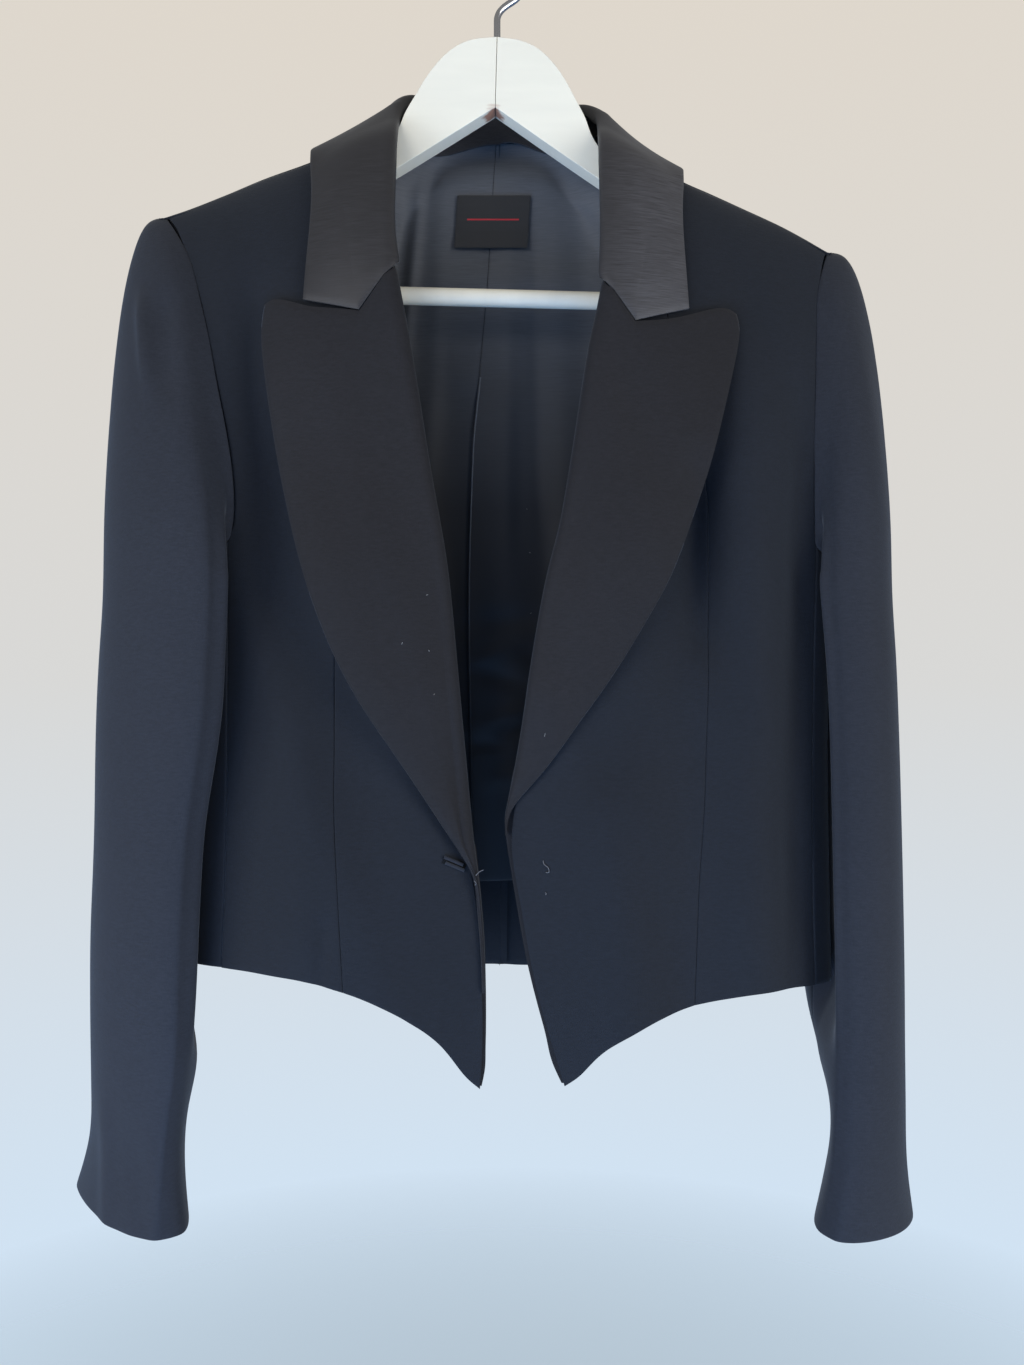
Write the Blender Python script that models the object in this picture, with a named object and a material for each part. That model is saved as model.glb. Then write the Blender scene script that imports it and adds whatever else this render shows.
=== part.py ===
"""Cropped tuxedo jacket with wide peak lapels, hanging open on a wooden hanger.

The jacket is cut as a maker cuts it: two fronts and two side fronts, two
panels round the sides, two backs, a rolled lapel on each front, a collar with
its stand, two-piece sleeves, and the inside pieces that show.

+X is to the viewer's right, so the wearer's right side is at -X. -Y is the
front and +Z is up. The origin is where the hook bears on what it hangs from.
The tables are in millimetres, and the meshes are in metres.
"""
import math

import bmesh
import bpy
import numpy as np

for old_object in list(bpy.data.objects):
    bpy.data.objects.remove(old_object, do_unlink=True)

MM = 0.001

# Driving dimensions, in millimetres.
CLOTH = 1.6            # body cloth with its interlining
SLEEVE_CLOTH = 1.4
LAPEL_CLOTH = 2.2      # two layers, pressed
LEAF_CLOTH = 2.0
LINING_CLOTH = 1.0
SEAM = 0.3             # space between two sewn pieces
CENTRE_X = 4.0         # the jacket hangs a little to one side of the hook
ROUNDNESS = 2.4        # superellipse exponent of a level section through the body
CREST_POWER = 0.6      # how fast the cloth falls away from the shoulder line
FRONT_CREST = 150.0    # height over which the front reaches its full depth
NECK_CREST = 38.0      # and the back, below the neck
UNDERARM_Z = -388.0    # where the sleeves become level-cut tubes
HEM_Z = {"right": -606.0, "left": -618.0}

SIDES = {"right": -1, "left": 1}

# Level sections of the body: half width on each side of CENTRE_X, and depth.
BODY = dict(
    z=(-690, -560, -480, -360, -260, -160, -60),
    right=(191, 189, 188, 193, 212, 228, 236),
    left=(199, 196, 195, 200, 210, 222, 230),
    front=(43, 41, 40, 44, 46, 46, 46),
    back=(40, 38, 37, 41, 42, 40, 40),
)

# Top line of the shoulders over the hanger, from the wearer's right to left.
CREST = dict(
    x=(-230, -201, -186, -163, -141, -108, -80, -66, -50, -30, 4, 30, 50, 66, 80, 109, 129, 149, 169, 186, 200, 230),
    z=(-170, -160, -155, -146, -137, -125, -111, -104, -93, -78, -68, -79, -96, -107, -116, -137, -146, -155,
       -164, -173, -181, -196),
)

# Long soft folds that the fronts and back hang in. Height is out of the body.
FOLDS = dict(
    face=("front", "front", "front", "front", "front", "front", "back", "back", "back"),
    x_top=(-141, -118, 148, 176, 112, 62, -95, 88, -20),
    x_low=(-136, -112, 144, 172, 118, 70, -84, 80, -14),
    z_top=(-190, -420, -230, -230, -300, -480, -300, -280, -330),
    z_low=(-400, -600, -600, -600, -420, -640, -600, -600, -600),
    width=(13, 18, 24, 9, 11, 26, 26, 24, 30),
    height=(-5, 3, 6, -6, -5, 3, 5, 4, -4),
)

# Armhole of each side, from the shoulder point down the front and up the back.
ARMHOLE = {
    "right": dict(
        x=(-201, -189, -182.5, -176.6, -171, -163, -156, -151.7, -151, -155, 0, -178, -170, -168, -173, -184, -195,
           -201),
        z=(-160, -175.5, -189, -205, -221.5, -256, -291, -321, -338, -360, -369, -350, -318, -288, -245, -200,
           -173, -160),
        face="ffffffffffsbbbbbbb",
    ),
    "left": dict(
        x=(200, 194, 189.5, 187.5, 186.3, 185.3, 184.5, 185, 185.5, 187, 0, 186, 178, 174, 178, 188, 196, 200),
        z=(-181, -197, -211, -229.5, -248, -267, -290, -325, -348, -362, -371, -352, -320, -292, -250, -212, -192,
           -181),
        face="ffffffffffsbbbbbbb",
    ),
}
ARMHOLE_FRONT_LOW = 9      # row where the side front's seam starts
ARMHOLE_SIDE = 10          # row at the side of the body
ARMHOLE_BACK_LOW = 13      # row where the side back seam starts
FRONT_STEPS = 9            # points along the armhole: front, underarm and back
UNDERARM_STEPS = 8
BACK_STEPS = 7
SEAM_STEPS = 11            # steps down each long seam below the armhole

# Vertical seams, read by height: princess, side front and side back.
PRINCESS = {
    "right": dict(z=(-630, -560, -500, -440, -340, -240, -112), x=(-85, -89, -92, -92.3, -88, -83, -81)),
    "left": dict(z=(-630, -560, -508, -451, -380, -340, -240, -116), x=(113.5, 116, 119.4, 121, 122.3, 122, 98, 82)),
}
SIDE_FRONT = {
    "right": dict(z=(-620, -540, -440, -360), x=(-160, -157, -156, -155)),
    "left": dict(z=(-630, -540, -440, -362), x=(187, 185.5, 186, 187)),
}
SIDE_BACK = {
    "right": dict(z=(-620, -480, -400, -330, -288), x=(-116, -122, -132, -151, -168)),
    "left": dict(z=(-620, -480, -400, -330, -292), x=(122, 128, 138, 158, 174)),
}

# Hem of the fronts, by distance across, from the pointed corner outwards.
FRONT_HEM = {
    "right": dict(
        x=(-190, -162, -123, -111, -86.6, -67.3, -52.5, -40.6, -31.6, -23.7, -15.8, -9),
        z=(-606, -606, -607.7, -608.8, -615, -623, -631.3, -639.8, -648, -656.7, -665, -669.7),
    ),
    "left": dict(
        x=(38.9, 42.8, 53, 63.7, 76.7, 93.7, 122.4, 160.4, 176.4, 200),
        z=(-666.8, -665, -656.7, -648, -639.8, -631.6, -623.8, -618.5, -618, -618.5),
    ),
}
BACK_HEM = dict(x=(-190, -116, 0, 122, 205), z=(-606, -614, -621.5, -624, -618.5))
CENTRE_BACK_X = 1.0

# Front edge of each side: the lapel's roll down to the break, then the edge
# itself. inset is how far the front's own cloth stays back from it.
FRONT_EDGE = {
    "right": dict(
        z=(-669.7, -662, -632, -596, -560, -540, -512, -428, -381, -317, -253, -205, -190, -160, -104),
        x=(-9, -6.8, -6.1, -6.7, -9.4, -11.6, -14.4, -21.6, -26.1, -36.7, -46.8, -55.6, -58, -59, -58.5),
        inset=(0.4, 1, 1.8, 2, 3, 4.6, 5.6, 6.5, 6.8, 6.8, 6.8, 7.2, 9, 10, 12.5),
    ),
    "left": dict(
        z=(-666.8, -665, -640, -603, -563, -546, -532, -520, -509, -470, -428, -384, -350, -317, -255, -213, -197,
           -160, -107),
        x=(38.9, 36.1, 27.6, 18, 10.7, 7.9, 5.7, 5.1, 6.8, 13.5, 19.6, 27.4, 35.7, 41.3, 50.9, 59, 60.3, 60.5, 60.5),
        inset=(0.4, 0.8, 1.5, 2, 2.2, 2.4, 2.8, 3.6, 4.6, 5.8, 6.5, 6.8, 6.8, 6.8, 6.8, 7.2, 9, 9.5, 10.5),
    ),
}

# Lapels: gorge from the roll to the notch, top edge to the peak, outer edge.
LAPEL_TOP = {
    "right": dict(
        x=(-55.6, -65.5, -76.6, -92.2, -107.4, -127.4, -132.5),
        z=(-204.7, -218.8, -232.7, -230.5, -228.2, -223.3, -225.5),
    ),
    "left": dict(
        x=(59, 69, 78, 91.3, 107.8, 131.9, 137.3),
        z=(-213, -227, -238.8, -237.7, -233.7, -228, -231),
    ),
}
LAPEL_OUTER = {
    "right": dict(
        x=(-132.5, -134.2, -131, -124.5, -115.3, -102, -79.7, -53.1, -32, -23.5, -18),
        z=(-225.5, -238, -272.2, -311.7, -350.8, -395.2, -445.2, -486.7, -520, -534, -549),
    ),
    "left": dict(
        x=(137.3, 138.6, 136.3, 128.6, 120.4, 110.8, 97.8, 82.7, 66, 46.7, 25.5, 14.6),
        z=(-231, -238, -254.5, -285.9, -317, -347.9, -381.3, -409.1, -436.8, -464.5, -493.9, -506),
    ),
}
LAPEL_END_Z = {"right": -549.0, "left": -506.0}
NOTCH_COLUMN = 3           # column of the lapel at the notch
LAPEL_COLUMNS = 8
LAPEL_ROWS = 15
ROLL_COLUMNS = 5
LAPEL_REACH = 7.0          # the roll ends this far from the front's edge
LAPEL_LIFT = 7.8           # and lies this far off the front there

# Collar, from the gorge round to the centre back: fold line and leaf edge.
# drop is below the shoulder line, positive down the front, negative down the back.
COLLAR = {
    "right": dict(
        fold_x=(-55.6, -58.5, -59, -59, -59, -57.5, -53, -32, 0),
        fold_y=(-30, -30, -30, -28, -5, 11, 25, 42, 47),
        fold_z=(-204.7, -185, -160, -134, -103.5, -84.5, -71.5, -68, -65.5),
        edge_x=(-108.5, -107.5, -106.5, -107, -108.5, -110, -106, -66, 0),
        drop=(100, 78, 53, 30, 13, 0, -12, -34, -52),
        roll=(5, 5, 4.8, 4.4, 3.6, 3, 2.8, 2.8, 2.8),
        bow=(0, 3, 3, 3, 2, -1, -1, 2, 2),
        lift=(4.2, 4.2, 4.2, 4.6, 6, 6.5, 8, 7.5, 6),
    ),
    "left": dict(
        fold_x=(59, 60.3, 60.5, 60.5, 61, 60, 53, 32, 0),
        fold_y=(-30, -30, -30, -26, -4, 12, 25, 42, 47),
        fold_z=(-213, -190, -160, -134, -107.5, -89, -77.5, -70.5, -65.5),
        edge_x=(108.5, 107.6, 107, 107.5, 108.5, 109.5, 105, 66, 0),
        drop=(93.5, 72, 49, 28, 12, 0, -12, -34, -52),
        roll=(5, 5, 4.8, 4.4, 3.6, 3, 2.8, 2.8, 2.8),
        bow=(0, 3, 3, 3, 1, -2.5, -2.5, 2, 2),
        lift=(4.2, 4.2, 4.2, 4.6, 6, 6.5, 8, 7.5, 6),
    ),
}
COLLAR_ON_FRONT = 3.0      # up to this station the collar takes its depth from the front
COLLAR_SEAM_INWARD = 12.0
NECK_SEAM = dict(station=(4, 5, 6, 7, 8), x=(72, 63, 50, 28, 0))   # along the back's neckline
STAND_FROM_ROW = 9         # the stand shows only across the back of the neck
LEAF_COLUMNS = 6
LEAF_TO_NOTCH = 3
COLLAR_ROWS = 12           # rows from the gorge to the centre back

# Sleeves: each level section touches four lines, at its inner, front, outer
# and rear side. The fullnesses are exponents: 2 is round, 1 is straight.
SLEEVE = {
    "right": dict(
        z=(-758, -735, -700, -645, -600, -534, -450, -372),
        inner_x=(-179, -182, -180.5, -172.8, -171.6, -167, -154, -150.5),
        inner_y=(-21, -24, -27, -34, -38, -42, -47, -46),
        front_x=(-196.5, -197, -198, -198, -198, -196, -186, -178),
        front_y=(-42, -44, -47, -53, -56, -60, -63, -60),
        outer_x=(-266, -257.5, -252.5, -250, -248, -243.5, -239.8, -234.5),
        outer_y=(27, 23, 18, 12, 8, 4, 0, 0),
        rear_x=(-250, -243, -236, -229, -226, -222, -215, -212),
        rear_y=(40, 39, 38, 37, 36, 36, 36, 38),
        front_full=(1.25, 1.3, 1.45, 1.6, 1.65, 1.75, 1.8, 1.9),
        rear_full=(1.7, 1.7, 1.8, 1.8, 1.8, 1.8, 1.8, 1.8),
    ),
    "left": dict(
        z=(-758, -730, -690, -630, -540, -450, -372),
        inner_x=(185.5, 190.5, 193, 194, 193.3, 192.5, 186.5),
        inner_y=(-22, -27, -30, -32, -32, -32, -31),
        front_x=(200, 203, 208, 212, 213, 212, 206),
        front_y=(-41, -42, -43, -45, -46, -46, -44),
        outer_x=(250, 246.5, 245.5, 245, 243, 239.5, 235),
        outer_y=(1, 4, 8, 12, 12, 8, 4),
        rear_x=(238, 236, 232, 226, 223, 220, 216),
        rear_y=(45, 50, 62, 80, 85, 80, 66),
        front_full=(1.9, 1.95, 2, 2, 2, 2, 2),
        rear_full=(1.4, 1.3, 1.2, 2.8, 3, 2.8, 2.4),
    ),
}
CLEAR_OF_BODY = 5.0        # space between a hanging sleeve and the body
SLEEVE_BED = 3.2           # the sleeve's inner side lies flatter than the body's side
HEAD_ROWS = 7
TUBE_ROWS = 11
# Places round a sleeve: 0 inner, 1 front, 2 outer, 3 rear, 4 inner again.
HEAD_LIFT = 30.0           # how strongly the head springs out over the shoulder

# Inside pieces.
LINING_BEHIND = 6.8        # the lining hangs this far inside the back
LINING_SEAM = dict(z=(-566, -516, -388, -292, -253, -189, -98), x=(-16, -17, -19, -16.5, -12.8, -7, -1.3))
LINING_TOP = dict(
    x=(-150, -100, -58, -30, 0, 30, 60, 100, 150),
    z=(-180, -149, -123, -109, -101, -109, -125, -154, -185),
)
LINING_BOTTOM_Z = -566.0
PLEAT_TOP_Z = -240.0
PLEAT_WIDTH = 9.0
FACING_WIDTH = 42.0
FACING_BEHIND = 2.6
HEM_FACING_TOP_Z = -560.0
LABEL_SIZE = (46.0, 31.0)
LABEL_CENTRE = (-3.0, -146.5)

# Buttonhole on the wearer's right front: two jets, from one end to the other.
JET_WIDTH = 2.2
JETS = dict(
    name=("buttonhole_jet_upper", "buttonhole_jet_lower"),
    x_start=(-29.9, -29.9),
    z_start=(-541.2, -545.3),
    x_end=(-19.4, -20.0),
    z_end=(-546.2, -550.6),
)

# Hanger, before it is tilted: outline of one arm by distance from its joint.
HANGER_TILT = math.radians(1.5)
HANGER_MIDDLE = 1.5
HANGER_THICK = 12.0
ARM_TOP = dict(
    x=(0.15, 12, 22.5, 32, 40.4, 48, 54, 58, 64, 75, 92, 110, 150, 180, 194, 198),
    z=(-54, -55.3, -59, -66.5, -77, -90, -101, -111, -120, -128, -138, -147, -166, -184, -198, -213),
)
ARM_LOWER = dict(
    x=(198, 192, 180, 174, 174, 168, 150, 110, 57.5, 0.15),
    z=(-216, -222, -222, -216, -202, -198, -189, -167, -134, -96.3),
)
BAR_Z = -208.5
BAR_RADIUS = 5.2
BAR_HALF_LENGTH = 173.7

# Hook: a stem, a bend and an open loop whose inside top is at the origin.
WIRE_RADIUS = 2.0
LOOP_RADIUS = 17.0
LOOP_FROM = -58.0
LOOP_TO = 206.0
STEM_FOOT_Z = -53.4
STEM_TOP_Z = -41.0
WIRE_SIDES = 12


def finish(name, colour, roughness, metallic=0.0):
    """A plain Principled BSDF material."""
    surface = bpy.data.materials.new(name)
    surface.use_nodes = True
    shader = surface.node_tree.nodes["Principled BSDF"]
    shader.inputs["Base Color"].default_value = (*colour, 1.0)
    shader.inputs["Roughness"].default_value = roughness
    shader.inputs["Metallic"].default_value = metallic
    return surface


BLACK_CREPE = finish("black_crepe", (0.012, 0.013, 0.017), 0.85)
BLACK_SATIN = finish("black_satin", (0.035, 0.033, 0.033), 0.38)
BLACK_LINING = finish("black_lining", (0.010, 0.013, 0.020), 0.45)
LABEL_CLOTH = finish("label_cloth", (0.028, 0.028, 0.030), 0.8)
WHITE_PAINT = finish("white_paint", (0.80, 0.80, 0.80), 0.45)
HOOK_METAL = finish("hook_metal", (0.62, 0.62, 0.64), 0.25, 1.0)


def read(keys, values, at):
    """Read a table between its rows, along a smooth curve that never overshoots."""
    keys = np.asarray(keys, float)
    values = np.asarray(values, float)
    order = np.argsort(keys)
    keys, values = keys[order], values[order]
    step = np.diff(keys)
    slope = np.diff(values) / step
    tangent = np.zeros(len(keys))
    tangent[0], tangent[-1] = slope[0], slope[-1]
    for row in range(1, len(keys) - 1):
        before, after = slope[row - 1], slope[row]
        if before * after > 0:
            first = 2 * step[row] + step[row - 1]
            second = step[row] + 2 * step[row - 1]
            tangent[row] = (first + second) / (first / before + second / after)
    at = np.clip(np.asarray(at, float), keys[0], keys[-1])
    row = np.clip(np.searchsorted(keys, at, side="right") - 1, 0, len(keys) - 2)
    t = (at - keys[row]) / step[row]
    rise = step[row]
    return (
        (1 + 2 * t) * (1 - t) ** 2 * values[row]
        + t * (1 - t) ** 2 * rise * tangent[row]
        + t * t * (3 - 2 * t) * values[row + 1]
        + t * t * (t - 1) * rise * tangent[row + 1]
    )


def along(points, fractions):
    """Points at fractions of the way along a smooth curve through some points."""
    points = np.asarray(points, float)
    way = np.concatenate([[0.0], np.cumsum(np.linalg.norm(np.diff(points, axis=0), axis=1))])
    spots = np.asarray(fractions, float) * way[-1]
    return np.stack([read(way, column, spots) for column in points.T], axis=-1)


def steps(count):
    """Even fractions from 0 to 1, in a number of steps."""
    return np.linspace(0.0, 1.0, count + 1)


def ease(value):
    """0 to 1, smooth at both ends."""
    value = np.clip(value, 0.0, 1.0)
    return value * value * (3 - 2 * value)


# --- the body's form -------------------------------------------------------


def crest(x):
    return read(CREST["x"], CREST["z"], x)


def half_width(x, z):
    right = read(BODY["z"], BODY["right"], z)
    left = read(BODY["z"], BODY["left"], z)
    return np.where(x < CENTRE_X, right, left)


def fold_depth(x, z, face):
    """How far the hanging folds stand out of the plain form at a place."""
    depth = np.zeros(np.broadcast(x, z).shape)
    rows = zip(*(FOLDS[name] for name in ("face", "x_top", "x_low", "z_top", "z_low", "width", "height")))
    for where, x_top, x_low, z_top, z_low, width, height in rows:
        down = (z_top - z) / (z_top - z_low)
        middle = x_top + (x_low - x_top) * np.clip(down, 0, 1)
        length = ease(down * 4) * ease((1.15 - down) * 4)
        depth += (face == where) * height * length * np.exp(-(((x - middle) / width) ** 2))
    return depth


def on_body(x, z, face, folds=True):
    """Points of the cloth's outside on one face of the body."""
    x, z = np.broadcast_arrays(np.asarray(x, float), np.asarray(z, float))
    drop = np.maximum(crest(x) - z, 0.0)
    across = np.clip(np.abs(x - CENTRE_X) / half_width(x, z), 0.0, 1.0)
    round_off = (1 - across**ROUNDNESS) ** (1 / ROUNDNESS)
    rise = FRONT_CREST
    if face == "back":
        rise = NECK_CREST + (FRONT_CREST - NECK_CREST) * ease((np.abs(x) - 36) / 84)
    spread = np.sin(math.pi / 2 * np.clip(drop / rise, 0, 1)) ** CREST_POWER
    depth = read(BODY["z"], BODY[face], z) * round_off * spread
    if folds:
        depth = depth + fold_depth(x, z, face) * round_off * spread
    side = -1 if face == "front" else 1
    return np.stack([x, side * depth, z], axis=-1)


def row_of(drop):
    """Row number of a drop below the shoulder line; rows are even near it."""
    return np.sign(drop) * np.abs(drop) ** CREST_POWER


def drop_of(row):
    return np.sign(row) * np.abs(row) ** (1 / CREST_POWER)


def over_body(x, row, face, folds=True):
    """Points by row: negative rows are past the shoulder line, on the other face."""
    x, row = np.broadcast_arrays(np.asarray(x, float), np.asarray(row, float))
    other = "back" if face == "front" else "front"
    z = crest(x) - np.abs(drop_of(row))
    near = on_body(x, z, face, folds)
    far = on_body(x, z, other, folds)
    return np.where((row >= 0)[..., None], near, far)


def round_body(turn, z, side):
    """Points by turn: 0 is the centre front, 90 the side and 180 the centre back."""
    turn, z = np.broadcast_arrays(np.asarray(turn, float), np.asarray(z, float))
    reach = np.abs(np.sin(np.radians(turn))) ** (2 / ROUNDNESS)
    x = CENTRE_X + SIDES[side] * half_width(CENTRE_X + SIDES[side], z) * reach
    near = on_body(x, z, "front")
    far = on_body(x, z, "back")
    return np.where((turn <= 90)[..., None], near, far)


def surface_normals(form, first, second, step_first, step_second):
    """Unit normals of a form at two coordinates; seams that share points share these."""
    along_first = form(first + step_first, second) - form(first - step_first, second)
    along_second = form(first, second + step_second) - form(first, second - step_second)
    return unit(np.cross(along_first, along_second))


def unit(vectors):
    return vectors / np.maximum(np.linalg.norm(vectors, axis=-1, keepdims=True), 1e-9)


def turn_of(x, z, face, side):
    """The turn, in degrees, of a point given by its distance across."""
    if face == "s":
        return 90.0
    reach = abs(x - CENTRE_X) / float(half_width(CENTRE_X + SIDES[side], z))
    turn = math.degrees(math.asin(min(1.0, reach ** (ROUNDNESS / 2))))
    return turn if face == "f" else 180.0 - turn


# --- sheets ----------------------------------------------------------------


def panel(inner, outer, top, bottom):
    """Grid of a pattern piece, filled in between its four edges."""
    inner, outer, top, bottom = (np.asarray(edge, float) for edge in (inner, outer, top, bottom))
    down = steps(len(inner) - 1)[:, None, None]
    across = steps(len(top) - 1)[None, :, None]
    sides = inner[:, None] * (1 - across) + outer[:, None] * across
    ends = top[None] * (1 - down) + bottom[None] * down
    corners = (
        (top[0] * (1 - across) + top[-1] * across) * (1 - down)
        + (bottom[0] * (1 - across) + bottom[-1] * across) * down
    )
    return sides + ends - corners


def grid_normals(grid):
    down = np.gradient(grid, axis=0)
    across = np.gradient(grid, axis=1)
    normals = np.cross(down, across)
    length = np.linalg.norm(normals, axis=-1, keepdims=True)
    return normals / np.maximum(length, 1e-9)


def add_object(name, mesh, surface):
    piece = bpy.data.objects.new(name, mesh)
    bpy.context.scene.collection.objects.link(piece)
    mesh.materials.append(surface)
    mesh.shade_smooth()
    mesh.set_sharp_from_angle(angle=math.radians(50))
    return piece


def sheet(name, grid, thickness, surface, inside, normals=None):
    """Closed solid of a cloth piece. inside is a point behind its last row."""
    normals = grid_normals(grid) if normals is None else normals.copy()
    thickness = np.broadcast_to(thickness, grid.shape[:2])[..., None]
    outward = np.sum(normals[-1] * (grid[-1] - np.asarray(inside, float)))
    normals *= 1 if outward > 0 else -1
    rows, columns = grid.shape[:2]
    points = np.concatenate([grid.reshape(-1, 3), (grid - normals * thickness).reshape(-1, 3)]) * MM
    back = rows * columns

    def spot(row, column):
        return row * columns + column

    faces = []
    for row in range(rows - 1):
        for column in range(columns - 1):
            quad = [spot(row, column), spot(row + 1, column), spot(row + 1, column + 1), spot(row, column + 1)]
            faces.append(quad)
            faces.append([back + corner for corner in reversed(quad)])
    rim = [spot(0, column) for column in range(columns)]
    rim += [spot(row, columns - 1) for row in range(1, rows)]
    rim += [spot(rows - 1, column) for column in reversed(range(columns - 1))]
    rim += [spot(row, 0) for row in reversed(range(1, rows - 1))]
    for here, following in zip(rim, rim[1:] + rim[:1]):
        faces.append([here, following, back + following, back + here])
    mesh = bpy.data.meshes.new(name)
    mesh.from_pydata(points.tolist(), [], faces)
    form = bmesh.new()
    form.from_mesh(mesh)
    if form.calc_volume(signed=True) < 0:
        bmesh.ops.reverse_faces(form, faces=form.faces)
    form.to_mesh(mesh)
    form.free()
    return add_object(name, mesh, surface)


# --- armholes and long seams -------------------------------------------------


def armhole(side):
    """The armhole as turn, height and 3D points, at the places all pieces share."""
    rows = ARMHOLE[side]
    turns = [turn_of(x, z, face, side) for x, z, face in zip(rows["x"], rows["z"], rows["face"])]
    count = len(turns)
    fine = np.linspace(0, count - 1, 40 * (count - 1) + 1)
    fine_turn = read(np.arange(count), turns, fine)
    fine_z = read(np.arange(count), rows["z"], fine)
    way = round_body(fine_turn, fine_z, side)
    length = np.concatenate([[0.0], np.cumsum(np.linalg.norm(np.diff(way, axis=0), axis=1))])
    stops = (0, ARMHOLE_FRONT_LOW, ARMHOLE_BACK_LOW, count - 1)
    places = []
    spans = (
        1 - (1 - steps(FRONT_STEPS)) ** 1.4,       # closer together towards the underarm
        steps(UNDERARM_STEPS) ** 1.25,
        steps(BACK_STEPS),
    )
    for start, end, share in zip(stops, stops[1:], spans):
        first, last = np.interp([start, end], fine, length)
        places.extend(np.interp(first + (last - first) * share[:-1], length, fine))
    places.append(count - 1.0)
    turn = read(np.arange(count), turns, places)
    z = read(np.arange(count), rows["z"], places)
    return dict(turn=turn, z=z, points=round_body(turn, z, side), place=np.array(places))


ARMHOLES = {side: armhole(side) for side in SIDES}


def seam_x(table, side, z):
    return read(table[side]["z"], table[side]["x"], z)


def hem_z(side, x):
    return read(FRONT_HEM[side]["x"], FRONT_HEM[side]["z"], x)


def body_rows(side):
    """Rows of a front as fractions of its drop, even along armhole and side seam."""
    hole = ARMHOLES[side]["points"][: FRONT_STEPS + 1]
    drops = crest(hole[:, 0]) - hole[:, 2]
    low = hole[-1, 2]
    hem = float(hem_z(side, seam_x(SIDE_FRONT, side, -600)))
    seam_z = low + (hem - low) * steps(SEAM_STEPS)[1:]
    seam_drop = crest(seam_x(SIDE_FRONT, side, seam_z)) - seam_z
    rows = row_of(np.concatenate([drops, seam_drop]))
    return (rows - rows[0]) / (rows[-1] - rows[0]), seam_z


def fall(x_of, start_row, end_z, fractions):
    """An edge down a face, as distance across and row, at the shared fractions."""
    end_x = float(x_of(end_z))
    end_row = float(row_of(crest(end_x) - end_z))
    rows = start_row + (end_row - start_row) * fractions
    x = np.full(len(rows), end_x)
    for _ in range(6):
        x = x_of(crest(x) - drop_of(rows))
    return np.stack([x, rows], axis=-1)


SHOULDER_SEAM_ROW = dict(x=(0, 60, 140, 199), row=(2.2, 2.0, 1.2, 0.0))   # how far it lies to the front
HALF_SEAM_ROW = 0.05


def shoulder_row(x):
    return read(SHOULDER_SEAM_ROW["x"], SHOULDER_SEAM_ROW["row"], np.abs(x))


def princess_edge(side, shift):
    """The princess seam from shoulder to hem, moved across by half a seam."""
    fractions, _ = body_rows(side)
    table = PRINCESS[side]

    def x_of(z):
        return read(table["z"], table["x"], z) + shift

    hem = -615.0
    for _ in range(4):
        hem = float(hem_z(side, x_of(hem)))
    return fall(x_of, float(shoulder_row(x_of(-115.0))) + HALF_SEAM_ROW, hem, fractions)


def front_inner_edge(side):
    """The front's own cloth edge: neckline, behind the roll, then the front edge."""
    fractions, _ = body_rows(side)
    table = FRONT_EDGE[side]
    out = SIDES[side]

    def x_of(z):
        return read(table["z"], table["x"], z) + out * read(table["z"], table["inset"], z)

    return fall(x_of, float(shoulder_row(66.0)) + HALF_SEAM_ROW, min(table["z"]) + 0.4, fractions)


def edge_between(start, end, count, z_of=None):
    """An edge from one corner to another; z_of bends it to a hem or neckline."""
    flat = start + (end - start) * steps(count)[:, None]
    if z_of is not None:
        flat[1:-1, 1] = row_of(crest(flat[1:-1, 0]) - z_of(flat[1:-1, 0]))
    return flat


def on_face(flat, face):
    """Points and normals of a piece laid out by distance across and row."""

    def form(x, row):
        return over_body(x, row, face)

    return form(flat[..., 0], flat[..., 1]), surface_normals(form, flat[..., 0], flat[..., 1], 0.5, 0.15)


FRONT_COLUMNS = 9
SIDE_FRONT_COLUMNS = 6
INSIDE_BODY = (CENTRE_X, 0.0, -400.0)


def front_grid(side):
    half = SEAM / 2 * SIDES[side]
    inner = front_inner_edge(side)
    outer = princess_edge(side, -half)
    top = edge_between(inner[0], outer[0], FRONT_COLUMNS)
    top[1:-1, 1] = shoulder_row(top[1:-1, 0]) + HALF_SEAM_ROW
    bottom = edge_between(inner[-1], outer[-1], FRONT_COLUMNS, lambda x: hem_z(side, x))
    return on_face(panel(inner, outer, top, bottom), "front")


def side_front_grid(side):
    half = SEAM / 2 * SIDES[side]
    inner = princess_edge(side, half)
    hole = ARMHOLES[side]["points"][: FRONT_STEPS + 1]
    _, seam_z = body_rows(side)
    x = np.concatenate([hole[:, 0], seam_x(SIDE_FRONT, side, seam_z) - half])
    z = np.concatenate([hole[:, 2], seam_z])
    outer = np.stack([x, row_of(np.maximum(crest(x) - z, 0.0))], axis=-1)
    outer[0, 1] = HALF_SEAM_ROW
    top = edge_between(inner[0], outer[0], SIDE_FRONT_COLUMNS)
    top[1:-1, 1] = shoulder_row(top[1:-1, 0]) + HALF_SEAM_ROW
    bottom = edge_between(inner[-1], outer[-1], SIDE_FRONT_COLUMNS, lambda x: hem_z(side, x))
    return on_face(panel(inner, outer, top, bottom), "front")


def side_back_z(side):
    low = ARMHOLES[side]["points"][FRONT_STEPS + UNDERARM_STEPS, 2]
    hem = float(read(BACK_HEM["x"], BACK_HEM["z"], seam_x(SIDE_BACK, side, -612)))
    return low + (hem - low) * steps(SEAM_STEPS)


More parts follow.
